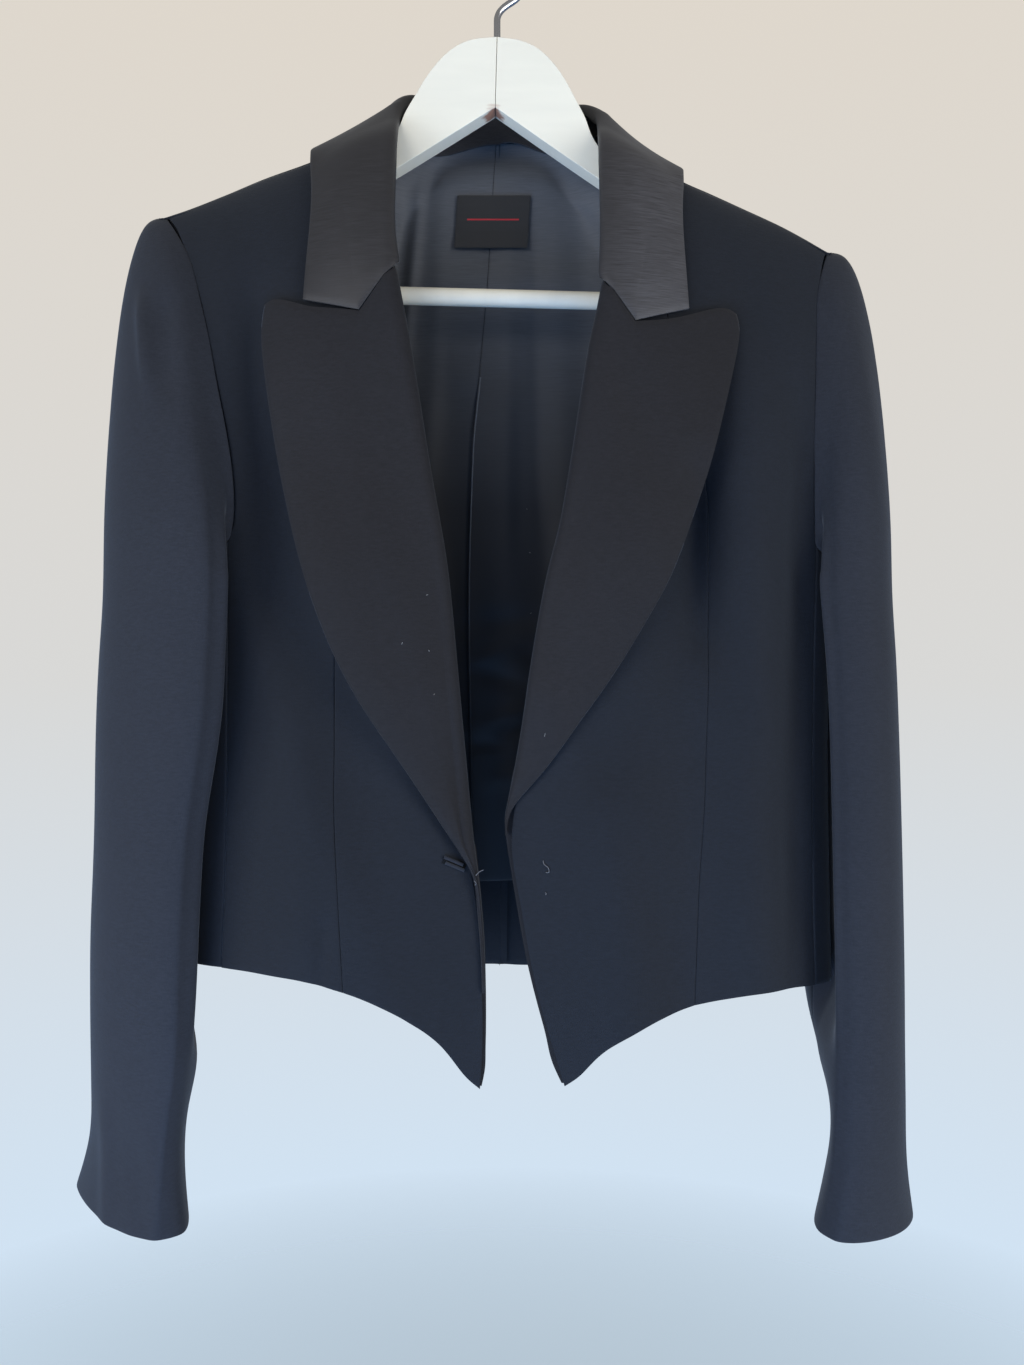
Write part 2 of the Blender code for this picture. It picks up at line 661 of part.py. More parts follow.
def side_grid(side):
    """The panel round the side, laid out by turn and height."""
    hole = ARMHOLES[side]
    first, last = FRONT_STEPS, FRONT_STEPS + UNDERARM_STEPS
    seam_gap = 0.1
    _, front_z = body_rows(side)
    front_z = np.concatenate([[hole["z"][first]], front_z])
    front_x = seam_x(SIDE_FRONT, side, front_z)
    inner = [[turn_of(x, z, "f", side) + seam_gap, z] for x, z in zip(front_x, front_z)]
    back_z = side_back_z(side)
    outer = [[turn_of(x, z, "b", side) - seam_gap, z] for x, z in zip(seam_x(SIDE_BACK, side, back_z), back_z)]
    top = np.stack([hole["turn"][first : last + 1], hole["z"][first : last + 1]], axis=-1)
    top[0] = inner[0]
    top[-1] = outer[0]
    fractions = steps(UNDERARM_STEPS)[:, None]
    bottom = np.array(inner[-1]) + (np.array(outer[-1]) - np.array(inner[-1])) * fractions
    bottom[1:-1, 1] += (HEM_Z[side] - bottom[1:-1, 1]) * 0.5
    flat = panel(inner, outer, top, bottom)

    def form(turn, z):
        return round_body(turn, z, side)

    return form(flat[..., 0], flat[..., 1]), surface_normals(form, flat[..., 0], flat[..., 1], 0.2, 0.5)


NECK_COLUMNS = 5
BACK_NECK = dict(x=(0, 30, 50, 61, 71), row_right=(7.1, 6.5, 4.4, 2.4, -1.9), row_left=(7.1, 6.3, 4.2, 2.2, -1.9))


def back_grid(side):
    out = SIDES[side]
    half = SEAM / 2 * out
    hole = ARMHOLES[side]["points"][FRONT_STEPS + UNDERARM_STEPS :][::-1]
    seam_z = side_back_z(side)[1:]
    x = np.concatenate([hole[:, 0], seam_x(SIDE_BACK, side, seam_z) - half])
    z = np.concatenate([hole[:, 2], seam_z])
    outer = np.stack([x, row_of(np.maximum(crest(x) - z, 0.0))], axis=-1)
    outer[0, 1] = -HALF_SEAM_ROW
    fractions = (outer[:, 1] - outer[0, 1]) / (outer[-1, 1] - outer[0, 1])
    centre = CENTRE_BACK_X + half
    hem = float(read(BACK_HEM["x"], BACK_HEM["z"], centre))
    start = BACK_NECK["row_" + side][0]
    end = float(row_of(crest(centre) - hem))
    inner = np.stack([np.full(len(outer), centre), start + (end - start) * fractions], axis=-1)
    neck_x = np.linspace(abs(centre), BACK_NECK["x"][-1], NECK_COLUMNS + 1)
    shoulder_x = np.linspace(abs(princess_edge(side, half)[0, 0]), abs(outer[0, 0]), SIDE_FRONT_COLUMNS + 1)
    neck = np.stack([out * neck_x, read(BACK_NECK["x"], BACK_NECK["row_" + side], neck_x)], axis=-1)
    shoulder = np.stack([out * shoulder_x, -shoulder_row(shoulder_x) + HALF_SEAM_ROW], axis=-1)
    top = np.concatenate([neck, shoulder])
    top[0], top[-1] = inner[0], outer[0]
    bottom = edge_between(inner[-1], outer[-1], len(top) - 1, lambda x: read(BACK_HEM["x"], BACK_HEM["z"], x))
    return on_face(panel(inner, outer, top, bottom), "back")


for side in SIDES:
    for name, (grid, normals) in (
        (f"front_{side}", front_grid(side)),
        (f"side_front_{side}", side_front_grid(side)),
        (f"side_{side}", side_grid(side)),
        (f"back_{side}", back_grid(side)),
    ):
        sheet(name, grid, CLOTH, BLACK_CREPE, INSIDE_BODY, normals)


# --- lapels ------------------------------------------------------------------


def bezier(first, second, third, fourth, count):
    t = steps(count)[:, None]
    return (
        first * (1 - t) ** 3 + 3 * second * t * (1 - t) ** 2 + 3 * third * t * t * (1 - t) + fourth * t**3
    )


def lapel_grid(side):
    """The roll, from behind the front's edge, then the lapel lying on the front."""
    out = SIDES[side]
    edge = FRONT_EDGE[side]
    corner = np.array([LAPEL_TOP[side]["x"][0], LAPEL_TOP[side]["z"][0]])
    notch = np.array([LAPEL_TOP[side]["x"][2], LAPEL_TOP[side]["z"][2]])
    down = steps(LAPEL_ROWS)
    roll_z = corner[1] - 1.6 + (LAPEL_END_Z[side] - corner[1] + 1.6) * down
    edge_x = read(edge["z"], edge["x"], roll_z)
    inset = read(edge["z"], edge["inset"], roll_z)
    reach = LAPEL_REACH - (LAPEL_REACH - 3.2) * ease((down - 0.8) / 0.2)
    share = LAPEL_REACH / abs(notch[0] - corner[0])
    laid_z = roll_z + (share * (notch[1] - corner[1]) - 0.2) * (1 - down) ** 3
    inner = np.stack([edge_x + out * reach, laid_z], axis=-1)
    inner[0] = corner + share * (notch - corner) - (0.0, 1.4)
    outer_points = np.stack([LAPEL_OUTER[side]["x"], LAPEL_OUTER[side]["z"]], axis=-1)
    outer = along(outer_points, down)
    top_points = np.stack([LAPEL_TOP[side]["x"], LAPEL_TOP[side]["z"]], axis=-1)
    gorge = edge_between(inner[0], notch - (0.0, 1.2), NOTCH_COLUMN)
    upper = along(np.vstack([gorge[-1], top_points[3:]]), steps(LAPEL_COLUMNS - NOTCH_COLUMN))
    top = np.vstack([gorge[:-1], upper])
    top[-1] = outer[0]
    bottom = edge_between(inner[-1], outer[-1], LAPEL_COLUMNS)
    flat = panel(inner, outer, top, bottom)
    across = steps(LAPEL_COLUMNS)[None, :]
    lift = LAPEL_LIFT - 3.0 * ease(down**2)
    height = 3.5 + (lift[:, None] - 3.5) * (1 - across) ** 1.6
    height = height + 2.5 * np.sin(math.pi * across) * np.sin(math.pi * down[:, None]) ** 0.7
    laid = on_body(flat[..., 0], flat[..., 1], "front")
    laid[..., 1] -= height
    rolls = []
    for row in range(LAPEL_ROWS + 1):
        end_x = edge_x[row] + out * (inset[row] - 1.4)
        behind = on_body(end_x, roll_z[row], "front")
        behind[1] += LAPEL_CLOTH
        turn_back = behind.copy()
        turn_back[0] = edge_x[row] - out * 0.25 * inset[row]
        turn_front = laid[row, 0].copy()
        turn_front[0] = edge_x[row] - out * 0.25 * inset[row]
        turn_front[2] = roll_z[row] + 0.25 * (laid[row, 0, 2] - roll_z[row])
        rolls.append(bezier(behind, turn_back, turn_front, laid[row, 0], ROLL_COLUMNS)[:-1])
    return np.concatenate([np.array(rolls), laid], axis=1)


INSIDE_LAPEL = (CENTRE_X, 300.0, -400.0)
for side in SIDES:
    wall = LAPEL_CLOTH - 1.4 * ease((steps(LAPEL_ROWS) - 0.55) / 0.4)
    sheet(f"lapel_{side}", lapel_grid(side), wall[:, None], BLACK_CREPE, INSIDE_LAPEL)


# --- collar ------------------------------------------------------------------


def collar_lines(side):
    """Fold, leaf edge and stand seam from the gorge to the centre back."""
    table = COLLAR[side]
    stations = np.arange(len(table["fold_x"]))
    place = np.linspace(0, stations[-1], COLLAR_ROWS + 1)
    value = {name: read(stations, table[name], place) for name in table}
    fold = np.stack([value["fold_x"], value["fold_y"], value["fold_z"]], axis=-1)
    rising = ease(place - COLLAR_ON_FRONT)
    front = on_body(fold[:, 0], fold[:, 2], "front", folds=False)[:, 1] - 2.8
    fold[:, 1] = front * (1 - rising) + fold[:, 1] * rising
    rows = -row_of(value["drop"])
    edge = over_body(value["edge_x"], rows, "back", folds=False)
    lift = surface_normals(lambda x, row: over_body(x, row, "back", folds=False), value["edge_x"], rows, 0.5, 0.2)
    lift *= np.sign(np.sum(lift * (edge - np.array(INSIDE_BODY)), axis=-1, keepdims=True))
    edge = edge + lift * value["lift"][:, None]
    neck_x = SIDES[side] * read(NECK_SEAM["station"], NECK_SEAM["x"], place)
    neck_row = read(BACK_NECK["x"], BACK_NECK["row_" + side], np.abs(neck_x)) - 0.4
    seam = over_body(neck_x, neck_row, "back")
    inward = np.array([COLLAR_SEAM_INWARD * -SIDES[side], 0.0, 0.0])
    along_front = on_body(fold[:, 0], fold[:, 2], "front") - inward
    seam = along_front * (1 - rising[:, None]) + seam * rising[:, None]
    return fold, edge, seam, value["roll"], value["bow"]


def collar_frame(fold, edge, seam):
    """Directions at the fold: down the leaf, down the stand, their middle and out."""
    leaf = unit(edge - fold)
    stand = unit(seam - fold)
    middle = unit(leaf + stand)
    run = unit(np.gradient(fold, axis=0))
    out = unit(np.cross(run, middle))
    out = out * np.sign(np.sum(out * (fold - np.array(NECK_CENTRE)), axis=-1, keepdims=True) + 1e-9)
    return leaf, stand, middle, out


NECK_CENTRE = (0.0, 0.0, -150.0)


def gorge_end(side, start, corner):
    """The leaf's front end: along the gorge to the notch, then to the leaf's corner."""
    table = LAPEL_TOP[side]
    top = np.array([table["x"][0], table["z"][0]])
    notch = np.array([table["x"][2], table["z"][2]])
    share = LAPEL_REACH / abs(notch[0] - top[0])
    first = top + share * (notch - top)
    to_notch = edge_between(first, notch, LEAF_TO_NOTCH)
    to_corner = edge_between(notch, corner[[0, 2]], LEAF_COLUMNS - LEAF_TO_NOTCH)
    flat = np.vstack([to_notch, to_corner[1:]])
    lift = np.interp(steps(LEAF_COLUMNS), (0, 0.5, 1), (LAPEL_LIFT, 5.6, 4.2))
    points = on_body(flat[:, 0], flat[:, 1], "front", folds=False)
    points[:, 1] -= lift
    return points


def leaf_half(side):
    fold, edge, seam, roll, bow = collar_lines(side)
    leaf, stand, middle, out = collar_frame(fold, edge, seam)
    across = steps(LEAF_COLUMNS)
    end_row = gorge_end(side, fold[0], edge[0])
    rows = []
    plain_end = None
    for row in range(len(fold)):
        start = fold[row] + leaf[row] * 8.0 + out[row] * roll[row]
        laid = start + (edge[row] - start) * across[:, None]
        laid += out[row] * bow[row] * np.sin(math.pi * across)[:, None]
        if row == 0:
            plain_end = laid.copy()
        laid += (end_row - plain_end) * (1 - ease(row / 4.0))
        behind = fold[row] + stand[row] * 6.0 - out[row] * roll[row]
        turn_back = fold[row] - middle[row] * 0.9 * roll[row] - out[row] * roll[row]
        turn_front = fold[row] - middle[row] * 0.9 * roll[row] + out[row] * roll[row]
        rows.append(np.concatenate([bezier(behind, turn_back, turn_front, laid[0], 4)[:-1], laid]))
    return np.array(rows)


def stand_half(side):
    """The stand, from just below the fold to the neckline, round the back of the neck."""
    fold, edge, seam, roll, bow = collar_lines(side)
    leaf, stand, middle, out = collar_frame(fold, edge, seam)
    top = fold + stand * 7.6 - out * (roll[:, None] - LEAF_CLOTH + 0.2)
    across = steps(3)[None, :, None]
    return (top[:, None] * (1 - across) + seam[:, None] * across)[STAND_FROM_ROW:]


def joined(right, left):
    """One grid from the wearer's right gorge, round the neck, to the left one."""
    middle = (right[-1:] + left[-1:]) / 2
    return np.concatenate([right[:-1], middle, left[-2::-1]])


leaf_grid = joined(leaf_half("right"), leaf_half("left"))
sheet("collar_leaf", leaf_grid, LEAF_CLOTH, BLACK_SATIN, NECK_CENTRE)


# --- sleeves -----------------------------------------------------------------


def sleeve_section(side, z, place):
    """A point of a level section; place runs from 0, inner, through 1, front, to 4."""
    table = SLEEVE[side]
    z, place = np.broadcast_arrays(np.asarray(z, float), np.asarray(place, float) % 4)
    value = {name: read(table["z"], table[name], z) for name in table if name != "z"}
    corners = ("inner", "front", "outer", "rear")
    x = np.zeros(z.shape)
    y = np.zeros(z.shape)
    for number, start in enumerate(corners):
        end = corners[(number + 1) % 4]
        here = (place >= number) & (place < number + 1)
        angle = (place - number) * math.pi / 2
        full = value["front_full"] if number == 1 else value["rear_full"] if number == 3 else 2.0
        ahead, aside = np.abs(np.cos(angle)), np.abs(np.sin(angle))
        size = (ahead**full + aside**full) ** (1 / full)
        along_start, along_end = ahead / size, aside / size
        if number % 2 == 0:      # leaves along Y, arrives along X
            centre_x, centre_y = value[end + "_x"], value[start + "_y"]
        else:                    # leaves along X, arrives along Y
            centre_x, centre_y = value[start + "_x"], value[end + "_y"]
        to_start = (value[start + "_x"] - centre_x, value[start + "_y"] - centre_y)
        to_end = (value[end + "_x"] - centre_x, value[end + "_y"] - centre_y)
        x = np.where(here, centre_x + to_start[0] * along_start + to_end[0] * along_end, x)
        y = np.where(here, centre_y + to_start[1] * along_start + to_end[1] * along_end, y)
    return np.stack([x, y, z], axis=-1)


def held_off_body(points, side):
    """Move sleeve points out of the body's side, to hang just clear of it."""
    out = SIDES[side]
    below = ease((HEM_Z[side] - 25 - points[..., 2]) / 60)
    reach = half_width(np.full(points.shape[:-1], CENTRE_X + out), points[..., 2]) + CLEAR_OF_BODY - 30 * below
    front = read(BODY["z"], BODY["front"], points[..., 2]) + CLEAR_OF_BODY
    back = read(BODY["z"], BODY["back"], points[..., 2]) + CLEAR_OF_BODY
    depth = np.where(points[..., 1] < 0, front, back)
    across = np.clip(np.abs(points[..., 1]) / depth, 0, 1)
    surface = CENTRE_X + out * reach * (1 - across**SLEEVE_BED) ** (1 / SLEEVE_BED)
    moved = points.copy()
    moved[..., 0] = np.where(out * (surface - points[..., 0]) > 0, surface, points[..., 0])
    return moved


def tube_normals(whole, passes=3):
    """Normals of a closed sleeve, evened out where it turns sharply at the underarm."""
    wrapped = np.concatenate([whole[:, -2:-1], whole, whole[:, 1:2]], axis=1)
    normals = grid_normals(wrapped)[:, 1:-1]
    for _ in range(passes):
        ring = normals[:, :-1]
        beside = np.roll(ring, 1, axis=1) + np.roll(ring, -1, axis=1)
        above = np.concatenate([ring[:1], ring[:-1]])
        below = np.concatenate([ring[1:], ring[-1:]])
        ring = unit(2 * ring + beside + above + below)
        normals = np.concatenate([ring, ring[:, :1]], axis=1)
    return normals


# Where the armhole's rows meet the sleeve's sections.
HOLE_PLACE = dict(
    row=(0, 5, 8, 10, 11.5, 14, 17),
    place=(2, 1, 0, -0.35, -0.7, -1.1, -2),
)


def sleeve_columns(side):
    """Places round the sleeve for each shared armhole point, from outer round the front."""
    return read(HOLE_PLACE["row"], HOLE_PLACE["place"], ARMHOLES[side]["place"])


def sleeve_grid(side):
    """The whole sleeve from the armhole to the cuff, opened along its outer line."""
    out = SIDES[side]
    hole = ARMHOLES[side]["points"]
    places = sleeve_columns(side)
    top_z, low_z = hole[:, 2].max(), hole[:, 2].min()
    height = (hole[:, 2] - low_z) / (top_z - low_z)
    spring = np.stack(
        [
            np.full(len(hole), float(out)),
            np.clip(hole[:, 1] / 32.0, -1, 1) * 0.75,
            -0.55 + 0.9 * ease(height * 1.05),
        ],
        axis=-1,
    )
    spring = unit(spring)
    start = hole + spring * 0.45
    ring = held_off_body(sleeve_section(side, np.full(len(hole), UNDERARM_Z), places), side)
    reach = (7 + (HEAD_LIFT - 7) * ease(height))[:, None]
    rise = 0.45 * (hole[:, 2] - UNDERARM_Z)[:, None] * np.array([0.0, 0.0, 1.0])
    t = steps(HEAD_ROWS)[:, None, None]
    head = (
        start * (1 - t) ** 3
        + 3 * (start + spring * reach) * t * (1 - t) ** 2
        + 3 * (ring + rise) * t * t * (1 - t)
        + ring * t**3
    )
    cuff_z = min(SLEEVE[side]["z"])
    levels = UNDERARM_Z + (cuff_z - UNDERARM_Z) * steps(TUBE_ROWS)[1:]
    tube = held_off_body(sleeve_section(side, levels[:, None], places[None, :]), side)
    return np.concatenate([head, tube])


for side in SIDES:
    whole = sleeve_grid(side)
    whole_normals = tube_normals(whole)
    forearm = FRONT_STEPS + 2
    hindarm = FRONT_STEPS + UNDERARM_STEPS + 2
    gap = SEAM / 2 + 0.1
    for name, first, last in (
        (f"sleeve_upper_{side}", hindarm, forearm + len(ARMHOLES[side]["z"]) - 1),
        (f"sleeve_under_{side}", forearm, hindarm),
    ):
        columns = [number % (whole.shape[1] - 1) for number in range(first, last + 1)]
        grid = whole[:, columns].copy()
        for edge_column, next_column in ((0, 1), (-1, -2)):
            pull = unit(grid[:, next_column] - grid[:, edge_column])
            grid[:, edge_column] += pull * gap
        middle = whole[-1].mean(axis=0)
        sheet(name, grid, SLEEVE_CLOTH, BLACK_CREPE, middle, whole_normals[:, columns])


# --- inside pieces -------------------------------------------------------------


def inside_back(x, z, distance):
    """Points at a distance in from the outside of the back."""

    def form(across, height):
        return on_body(across, height, "back")

    x, z = np.broadcast_arrays(np.asarray(x, float), np.asarray(z, float))
    normals = surface_normals(form, x, z, 0.5, 0.5)
    normals *= np.sign(normals[..., 1:2])
    return form(x, z) - normals * distance


def lining_grid(side):
    """Half of the back lining, seen from the front; the right half ends in a pleat."""
    out = SIDES[side]
    reach = 150.0
    rows = 18
    seam_z = float(read(LINING_TOP["x"], LINING_TOP["z"], 0))
    down = steps(rows)
    inner_z = seam_z + (LINING_BOTTOM_Z - seam_z) * down
    inner_x = read(LINING_SEAM["z"], LINING_SEAM["x"], inner_z) + out * SEAM / 2
    outer_top = float(read(LINING_TOP["x"], LINING_TOP["z"], out * reach))
    outer_z = outer_top + (LINING_BOTTOM_Z - outer_top) * down
    inner = np.stack([inner_x, inner_z], axis=-1)
    outer = np.stack([np.full(rows + 1, out * reach), outer_z], axis=-1)
    columns = 9
    top = edge_between(inner[0], outer[0], columns)
    top[1:-1, 1] = read(LINING_TOP["x"], LINING_TOP["z"], top[1:-1, 0])
    bottom = edge_between(inner[-1], outer[-1], columns)
    flat = panel(inner, outer, top, bottom)
    distance = LINING_BEHIND + 3.0 * (1 - ease(down * 4))
    grid = inside_back(flat[..., 0], flat[..., 1], distance[:, None, None])
    if side == "right":
        lifted = ease((PLEAT_TOP_Z - grid[:, 0, 2]) / 30)
        opened = ease((PLEAT_TOP_Z - 26 - grid[:, 0, 2]) / 60)
        grid[:, 0, 0] += PLEAT_WIDTH * opened
        grid[:, 0, 1] -= 3.6 * lifted
        grid[:, 1, 1] -= 2.4 * lifted
    return grid


IN_FRONT_OF_LINING = (0.0, 500.0, -300.0)
for side in SIDES:
    sheet(f"lining_back_{side}", lining_grid(side), LINING_CLOTH, BLACK_LINING, IN_FRONT_OF_LINING)


def hem_facing_grid():
    x = np.linspace(-150, 160, 15)
    top = np.full(len(x), HEM_FACING_TOP_Z)
    low = read(BACK_HEM["x"], BACK_HEM["z"], x) + 1.0
    z = top + (low - top) * steps(2)[:, None]
    grid = on_body(x[None, :], z, "back")
    grid[..., 1] -= 3.2
    return grid


sheet("hem_facing_back", hem_facing_grid(), LINING_CLOTH, BLACK_CREPE, IN_FRONT_OF_LINING)


def facing_grid(side):
    """The front's inside facing, whose edge shows past the front below the break."""
    out = SIDES[side]
    edge = FRONT_EDGE[side]
    top = LAPEL_END_Z[side] + 14.0
    low = min(edge["z"]) + 3.0
    z = top + (low - top) * steps(14)
    near = read(edge["z"], edge["x"], z)
    width = np.minimum(FACING_WIDTH, 3.0 + 1.05 * (z - low))
    across = steps(3)
    x = near[:, None] + out * width[:, None] * across[None, :]
    hem = hem_z(side, x) + 2.0
    z = np.maximum(z[:, None], np.where(np.abs(x - near[:, None]) > 0.1, hem, -1000.0))
    grid = on_body(x, z, "front")
    grid[..., 1] += FACING_BEHIND + 1.2
    return grid


IN_FRONT_OF_FACING = (0.0, -500.0, -600.0)
for side in SIDES:
    sheet(f"facing_{side}", facing_grid(side), 1.2, BLACK_CREPE, IN_FRONT_OF_FACING)


def label_grid():
    width, height = LABEL_SIZE
    x = LABEL_CENTRE[0] + (steps(5)[None, :] - 0.5) * width
    z = LABEL_CENTRE[1] - (steps(3)[:, None] - 0.5) * height
    down = (LINING_TOP["z"][4] - z) / (LINING_TOP["z"][4] - LINING_BOTTOM_Z)
    down = np.broadcast_to(down, (4, 6))[..., None]
    return inside_back(x, z, LINING_BEHIND + 3.0 * (1 - ease(down * 4)) + 1.8)


sheet("label", label_grid(), LINING_CLOTH, LABEL_CLOTH, IN_FRONT_OF_LINING)


def jet_grid(number):
    """A jet of the buttonhole, made from the front's points moved out."""
    start = np.array([JETS["x_start"][number], JETS["z_start"][number]])
    end = np.array([JETS["x_end"][number], JETS["z_end"][number]])
    way = start + (end - start) * steps(4)[:, None]
    normal = unit(np.array([-(end - start)[1], (end - start)[0]]))
    across = (steps(2) - 0.5) * JET_WIDTH
    flat = way[:, None] + normal * across[None, :, None]
    grid = on_body(flat[..., 0], flat[..., 1], "front")
    grid[..., 1] -= 1.3 + 0.35 * np.array([0.0, 1.0, 0.0])
    return grid


for number, name in enumerate(JETS["name"]):
    sheet(name, jet_grid(number), 1.0, BLACK_CREPE, INSIDE_LAPEL)


# --- hanger --------------------------------------------------------------------


def tilted(x, y, z):
    """A hanger point moved to its middle line and turned about the hook."""
    x = x + HANGER_MIDDLE
    return (
        (x * math.cos(HANGER_TILT) + z * math.sin(HANGER_TILT)) * MM,
        y * MM,
        (-x * math.sin(HANGER_TILT) + z * math.cos(HANGER_TILT)) * MM,
    )


def hanger_arm(side):
    """One half of the hanger: its outline, drawn out to its thickness and rounded."""
    out = SIDES[side]
    upper = along(np.stack([ARM_TOP["x"], ARM_TOP["z"]], axis=-1), steps(22))
    lower = np.stack([ARM_LOWER["x"], ARM_LOWER["z"]], axis=-1)
    outline = np.vstack([upper, lower])
    form = bmesh.new()
    front = [form.verts.new(tilted(out * x, -HANGER_THICK / 2, z)) for x, z in outline]
    face = form.faces.new(front)
    drawn = bmesh.ops.extrude_face_region(form, geom=[face])
    moved = [part for part in drawn["geom"] if isinstance(part, bmesh.types.BMVert)]
    bmesh.ops.translate(form, verts=moved, vec=(0, HANGER_THICK * MM, 0))
    bmesh.ops.recalc_face_normals(form, faces=form.faces)
    if form.calc_volume(signed=True) < 0:
        bmesh.ops.reverse_faces(form, faces=form.faces)
    mesh = bpy.data.meshes.new(f"hanger_arm_{side}")
    form.to_mesh(mesh)
    form.free()
    arm = add_object(f"hanger_arm_{side}", mesh, WHITE_PAINT)
    rounding = arm.modifiers.new("rounding", "BEVEL")
    rounding.width = 2.6 * MM
    rounding.segments = 2
    rounding.limit_method = "ANGLE"
    rounding.angle_limit = math.radians(60)
    return arm


for side in SIDES:
    hanger_arm(side)

bar_form = bmesh.new()
bmesh.ops.create_cone(
    bar_form, cap_ends=True, segments=20, radius1=BAR_RADIUS * MM, radius2=BAR_RADIUS * MM,
    depth=2 * BAR_HALF_LENGTH * MM,
)
bar_mesh = bpy.data.meshes.new("trouser_bar")
bar_form.to_mesh(bar_mesh)
bar_form.free()
trouser_bar = add_object("trouser_bar", bar_mesh, WHITE_PAINT)
trouser_bar.rotation_euler = (0, math.pi / 2 + HANGER_TILT, 0)
trouser_bar.location = tilted(0.0, 0.0, BAR_Z)


def hook_route():
    """Centre line of the wire: stem, an easy bend, then the loop."""
    centre_z = WIRE_RADIUS - LOOP_RADIUS
    turn = np.radians(np.linspace(LOOP_FROM, LOOP_TO, 34))
    loop = np.stack([LOOP_RADIUS * np.cos(turn), centre_z + LOOP_RADIUS * np.sin(turn)], axis=-1)
    along_loop = np.array([-math.sin(turn[0]), math.cos(turn[0])])
    foot = np.array([0.0, STEM_FOOT_Z])
    stem_top = np.array([0.0, STEM_TOP_Z])
    bend = bezier(stem_top, stem_top + (0, 6.0), loop[0] - along_loop * 5.0, loop[0], 8)
    return np.vstack([foot[None], (foot + stem_top)[None] / 2, bend[:-1], loop])


def bent_wire(name, route, surface):
    """A round wire along a flat route, closed at both ends."""
    run = unit(np.gradient(route, axis=0))
    turn = np.linspace(0, 2 * math.pi, WIRE_SIDES, endpoint=False)
    form = bmesh.new()
    rings = []
    for (x, z), (run_x, run_z) in zip(route, run):
        ring = []
        for angle in turn:
            aside = WIRE_RADIUS * math.cos(angle)
            point = ((x - run_z * aside) * MM, WIRE_RADIUS * math.sin(angle) * MM, (z + run_x * aside) * MM)
            ring.append(form.verts.new(point))
        rings.append(ring)
    for ring, following in zip(rings, rings[1:]):
        for number in range(WIRE_SIDES):
            after = (number + 1) % WIRE_SIDES
            form.faces.new((ring[number], ring[after], following[after], following[number]))
    form.faces.new(rings[0][::-1])
    form.faces.new(rings[-1])
    bmesh.ops.recalc_face_normals(form, faces=form.faces)
    if form.calc_volume(signed=True) < 0:
        bmesh.ops.reverse_faces(form, faces=form.faces)
    mesh = bpy.data.meshes.new(name)
    form.to_mesh(mesh)
    form.free()
    return add_object(name, mesh, surface)


bent_wire("hook", hook_route(), HOOK_METAL)
stand_grid = joined(stand_half("right"), stand_half("left"))
sheet("collar_stand", stand_grid, CLOTH, BLACK_CREPE, (0.0, 0.0, -20.0))
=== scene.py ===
import math
from types import SimpleNamespace

import bmesh
import bpy
import numpy as np
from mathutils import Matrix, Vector


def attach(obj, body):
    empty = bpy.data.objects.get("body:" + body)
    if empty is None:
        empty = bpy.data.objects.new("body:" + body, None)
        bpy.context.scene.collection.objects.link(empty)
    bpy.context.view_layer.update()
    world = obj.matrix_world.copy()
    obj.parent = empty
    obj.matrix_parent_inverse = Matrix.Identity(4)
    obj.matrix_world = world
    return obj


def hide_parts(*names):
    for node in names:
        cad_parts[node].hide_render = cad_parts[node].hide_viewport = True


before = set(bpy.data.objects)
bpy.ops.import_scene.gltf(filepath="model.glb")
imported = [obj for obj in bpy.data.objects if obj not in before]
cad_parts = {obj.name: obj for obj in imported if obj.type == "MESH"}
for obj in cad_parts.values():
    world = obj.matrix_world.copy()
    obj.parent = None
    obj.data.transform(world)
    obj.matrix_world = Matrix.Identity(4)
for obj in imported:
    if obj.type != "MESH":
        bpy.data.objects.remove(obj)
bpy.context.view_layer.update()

# --- Fronts and side fronts ------------------------------------------------------
# The body is cut from a heavy black crepe backed with a thin interlining. Each
# side has a centre front that ends in a point, and a side front that is sewn to
# it along the princess seam. The seams are pressed flat; all lengths are in mm.

MM = 0.001
CLOTH = 1.6            # body cloth with its interlining
SEAM = 0.3             # space between two sewn pieces
CENTRE_X = 4.0         # the jacket hangs a little to one side of the hook
ROUNDNESS = 2.4        # superellipse exponent of a level section through the body
CREST_POWER = 0.6      # how fast the cloth falls away from the shoulder line
FRONT_CREST = 150.0    # height over which the front reaches its full depth
NECK_CREST = 38.0      # the same for the back, below the neck
NECK_HALF = 36.0       # where the back starts to change from neck to shoulder
NECK_TO_SHOULDER = 84.0    # and over how far
UNDERARM_Z = -388.0    # where the sleeves become level-cut tubes
SIDES = {"right": -1, "left": 1}

# Level sections of the body: half width on each side of CENTRE_X, and depth.
BODY = dict(
    z=(-690, -560, -480, -360, -260, -160, -60),
    right=(191, 189, 188, 193, 212, 228, 236),
    left=(199, 196, 195, 200, 210, 222, 230),
    front=(43, 41, 40, 44, 46, 46, 46),
    back=(40, 38, 37, 41, 42, 40, 40),
)

# Top line of the shoulders over the hanger, from the wearer's right to left.
CREST = dict(
    x=(-230, -201, -186, -163, -141, -108, -80, -66, -50, -30, 4, 30, 50, 66, 80, 109, 129, 149, 169, 186, 200, 230),
    z=(-170, -160, -155, -146, -137, -125, -111, -104, -93, -78, -68, -79, -96, -107, -116, -137, -146, -155,
       -164, -173, -181, -196),
)

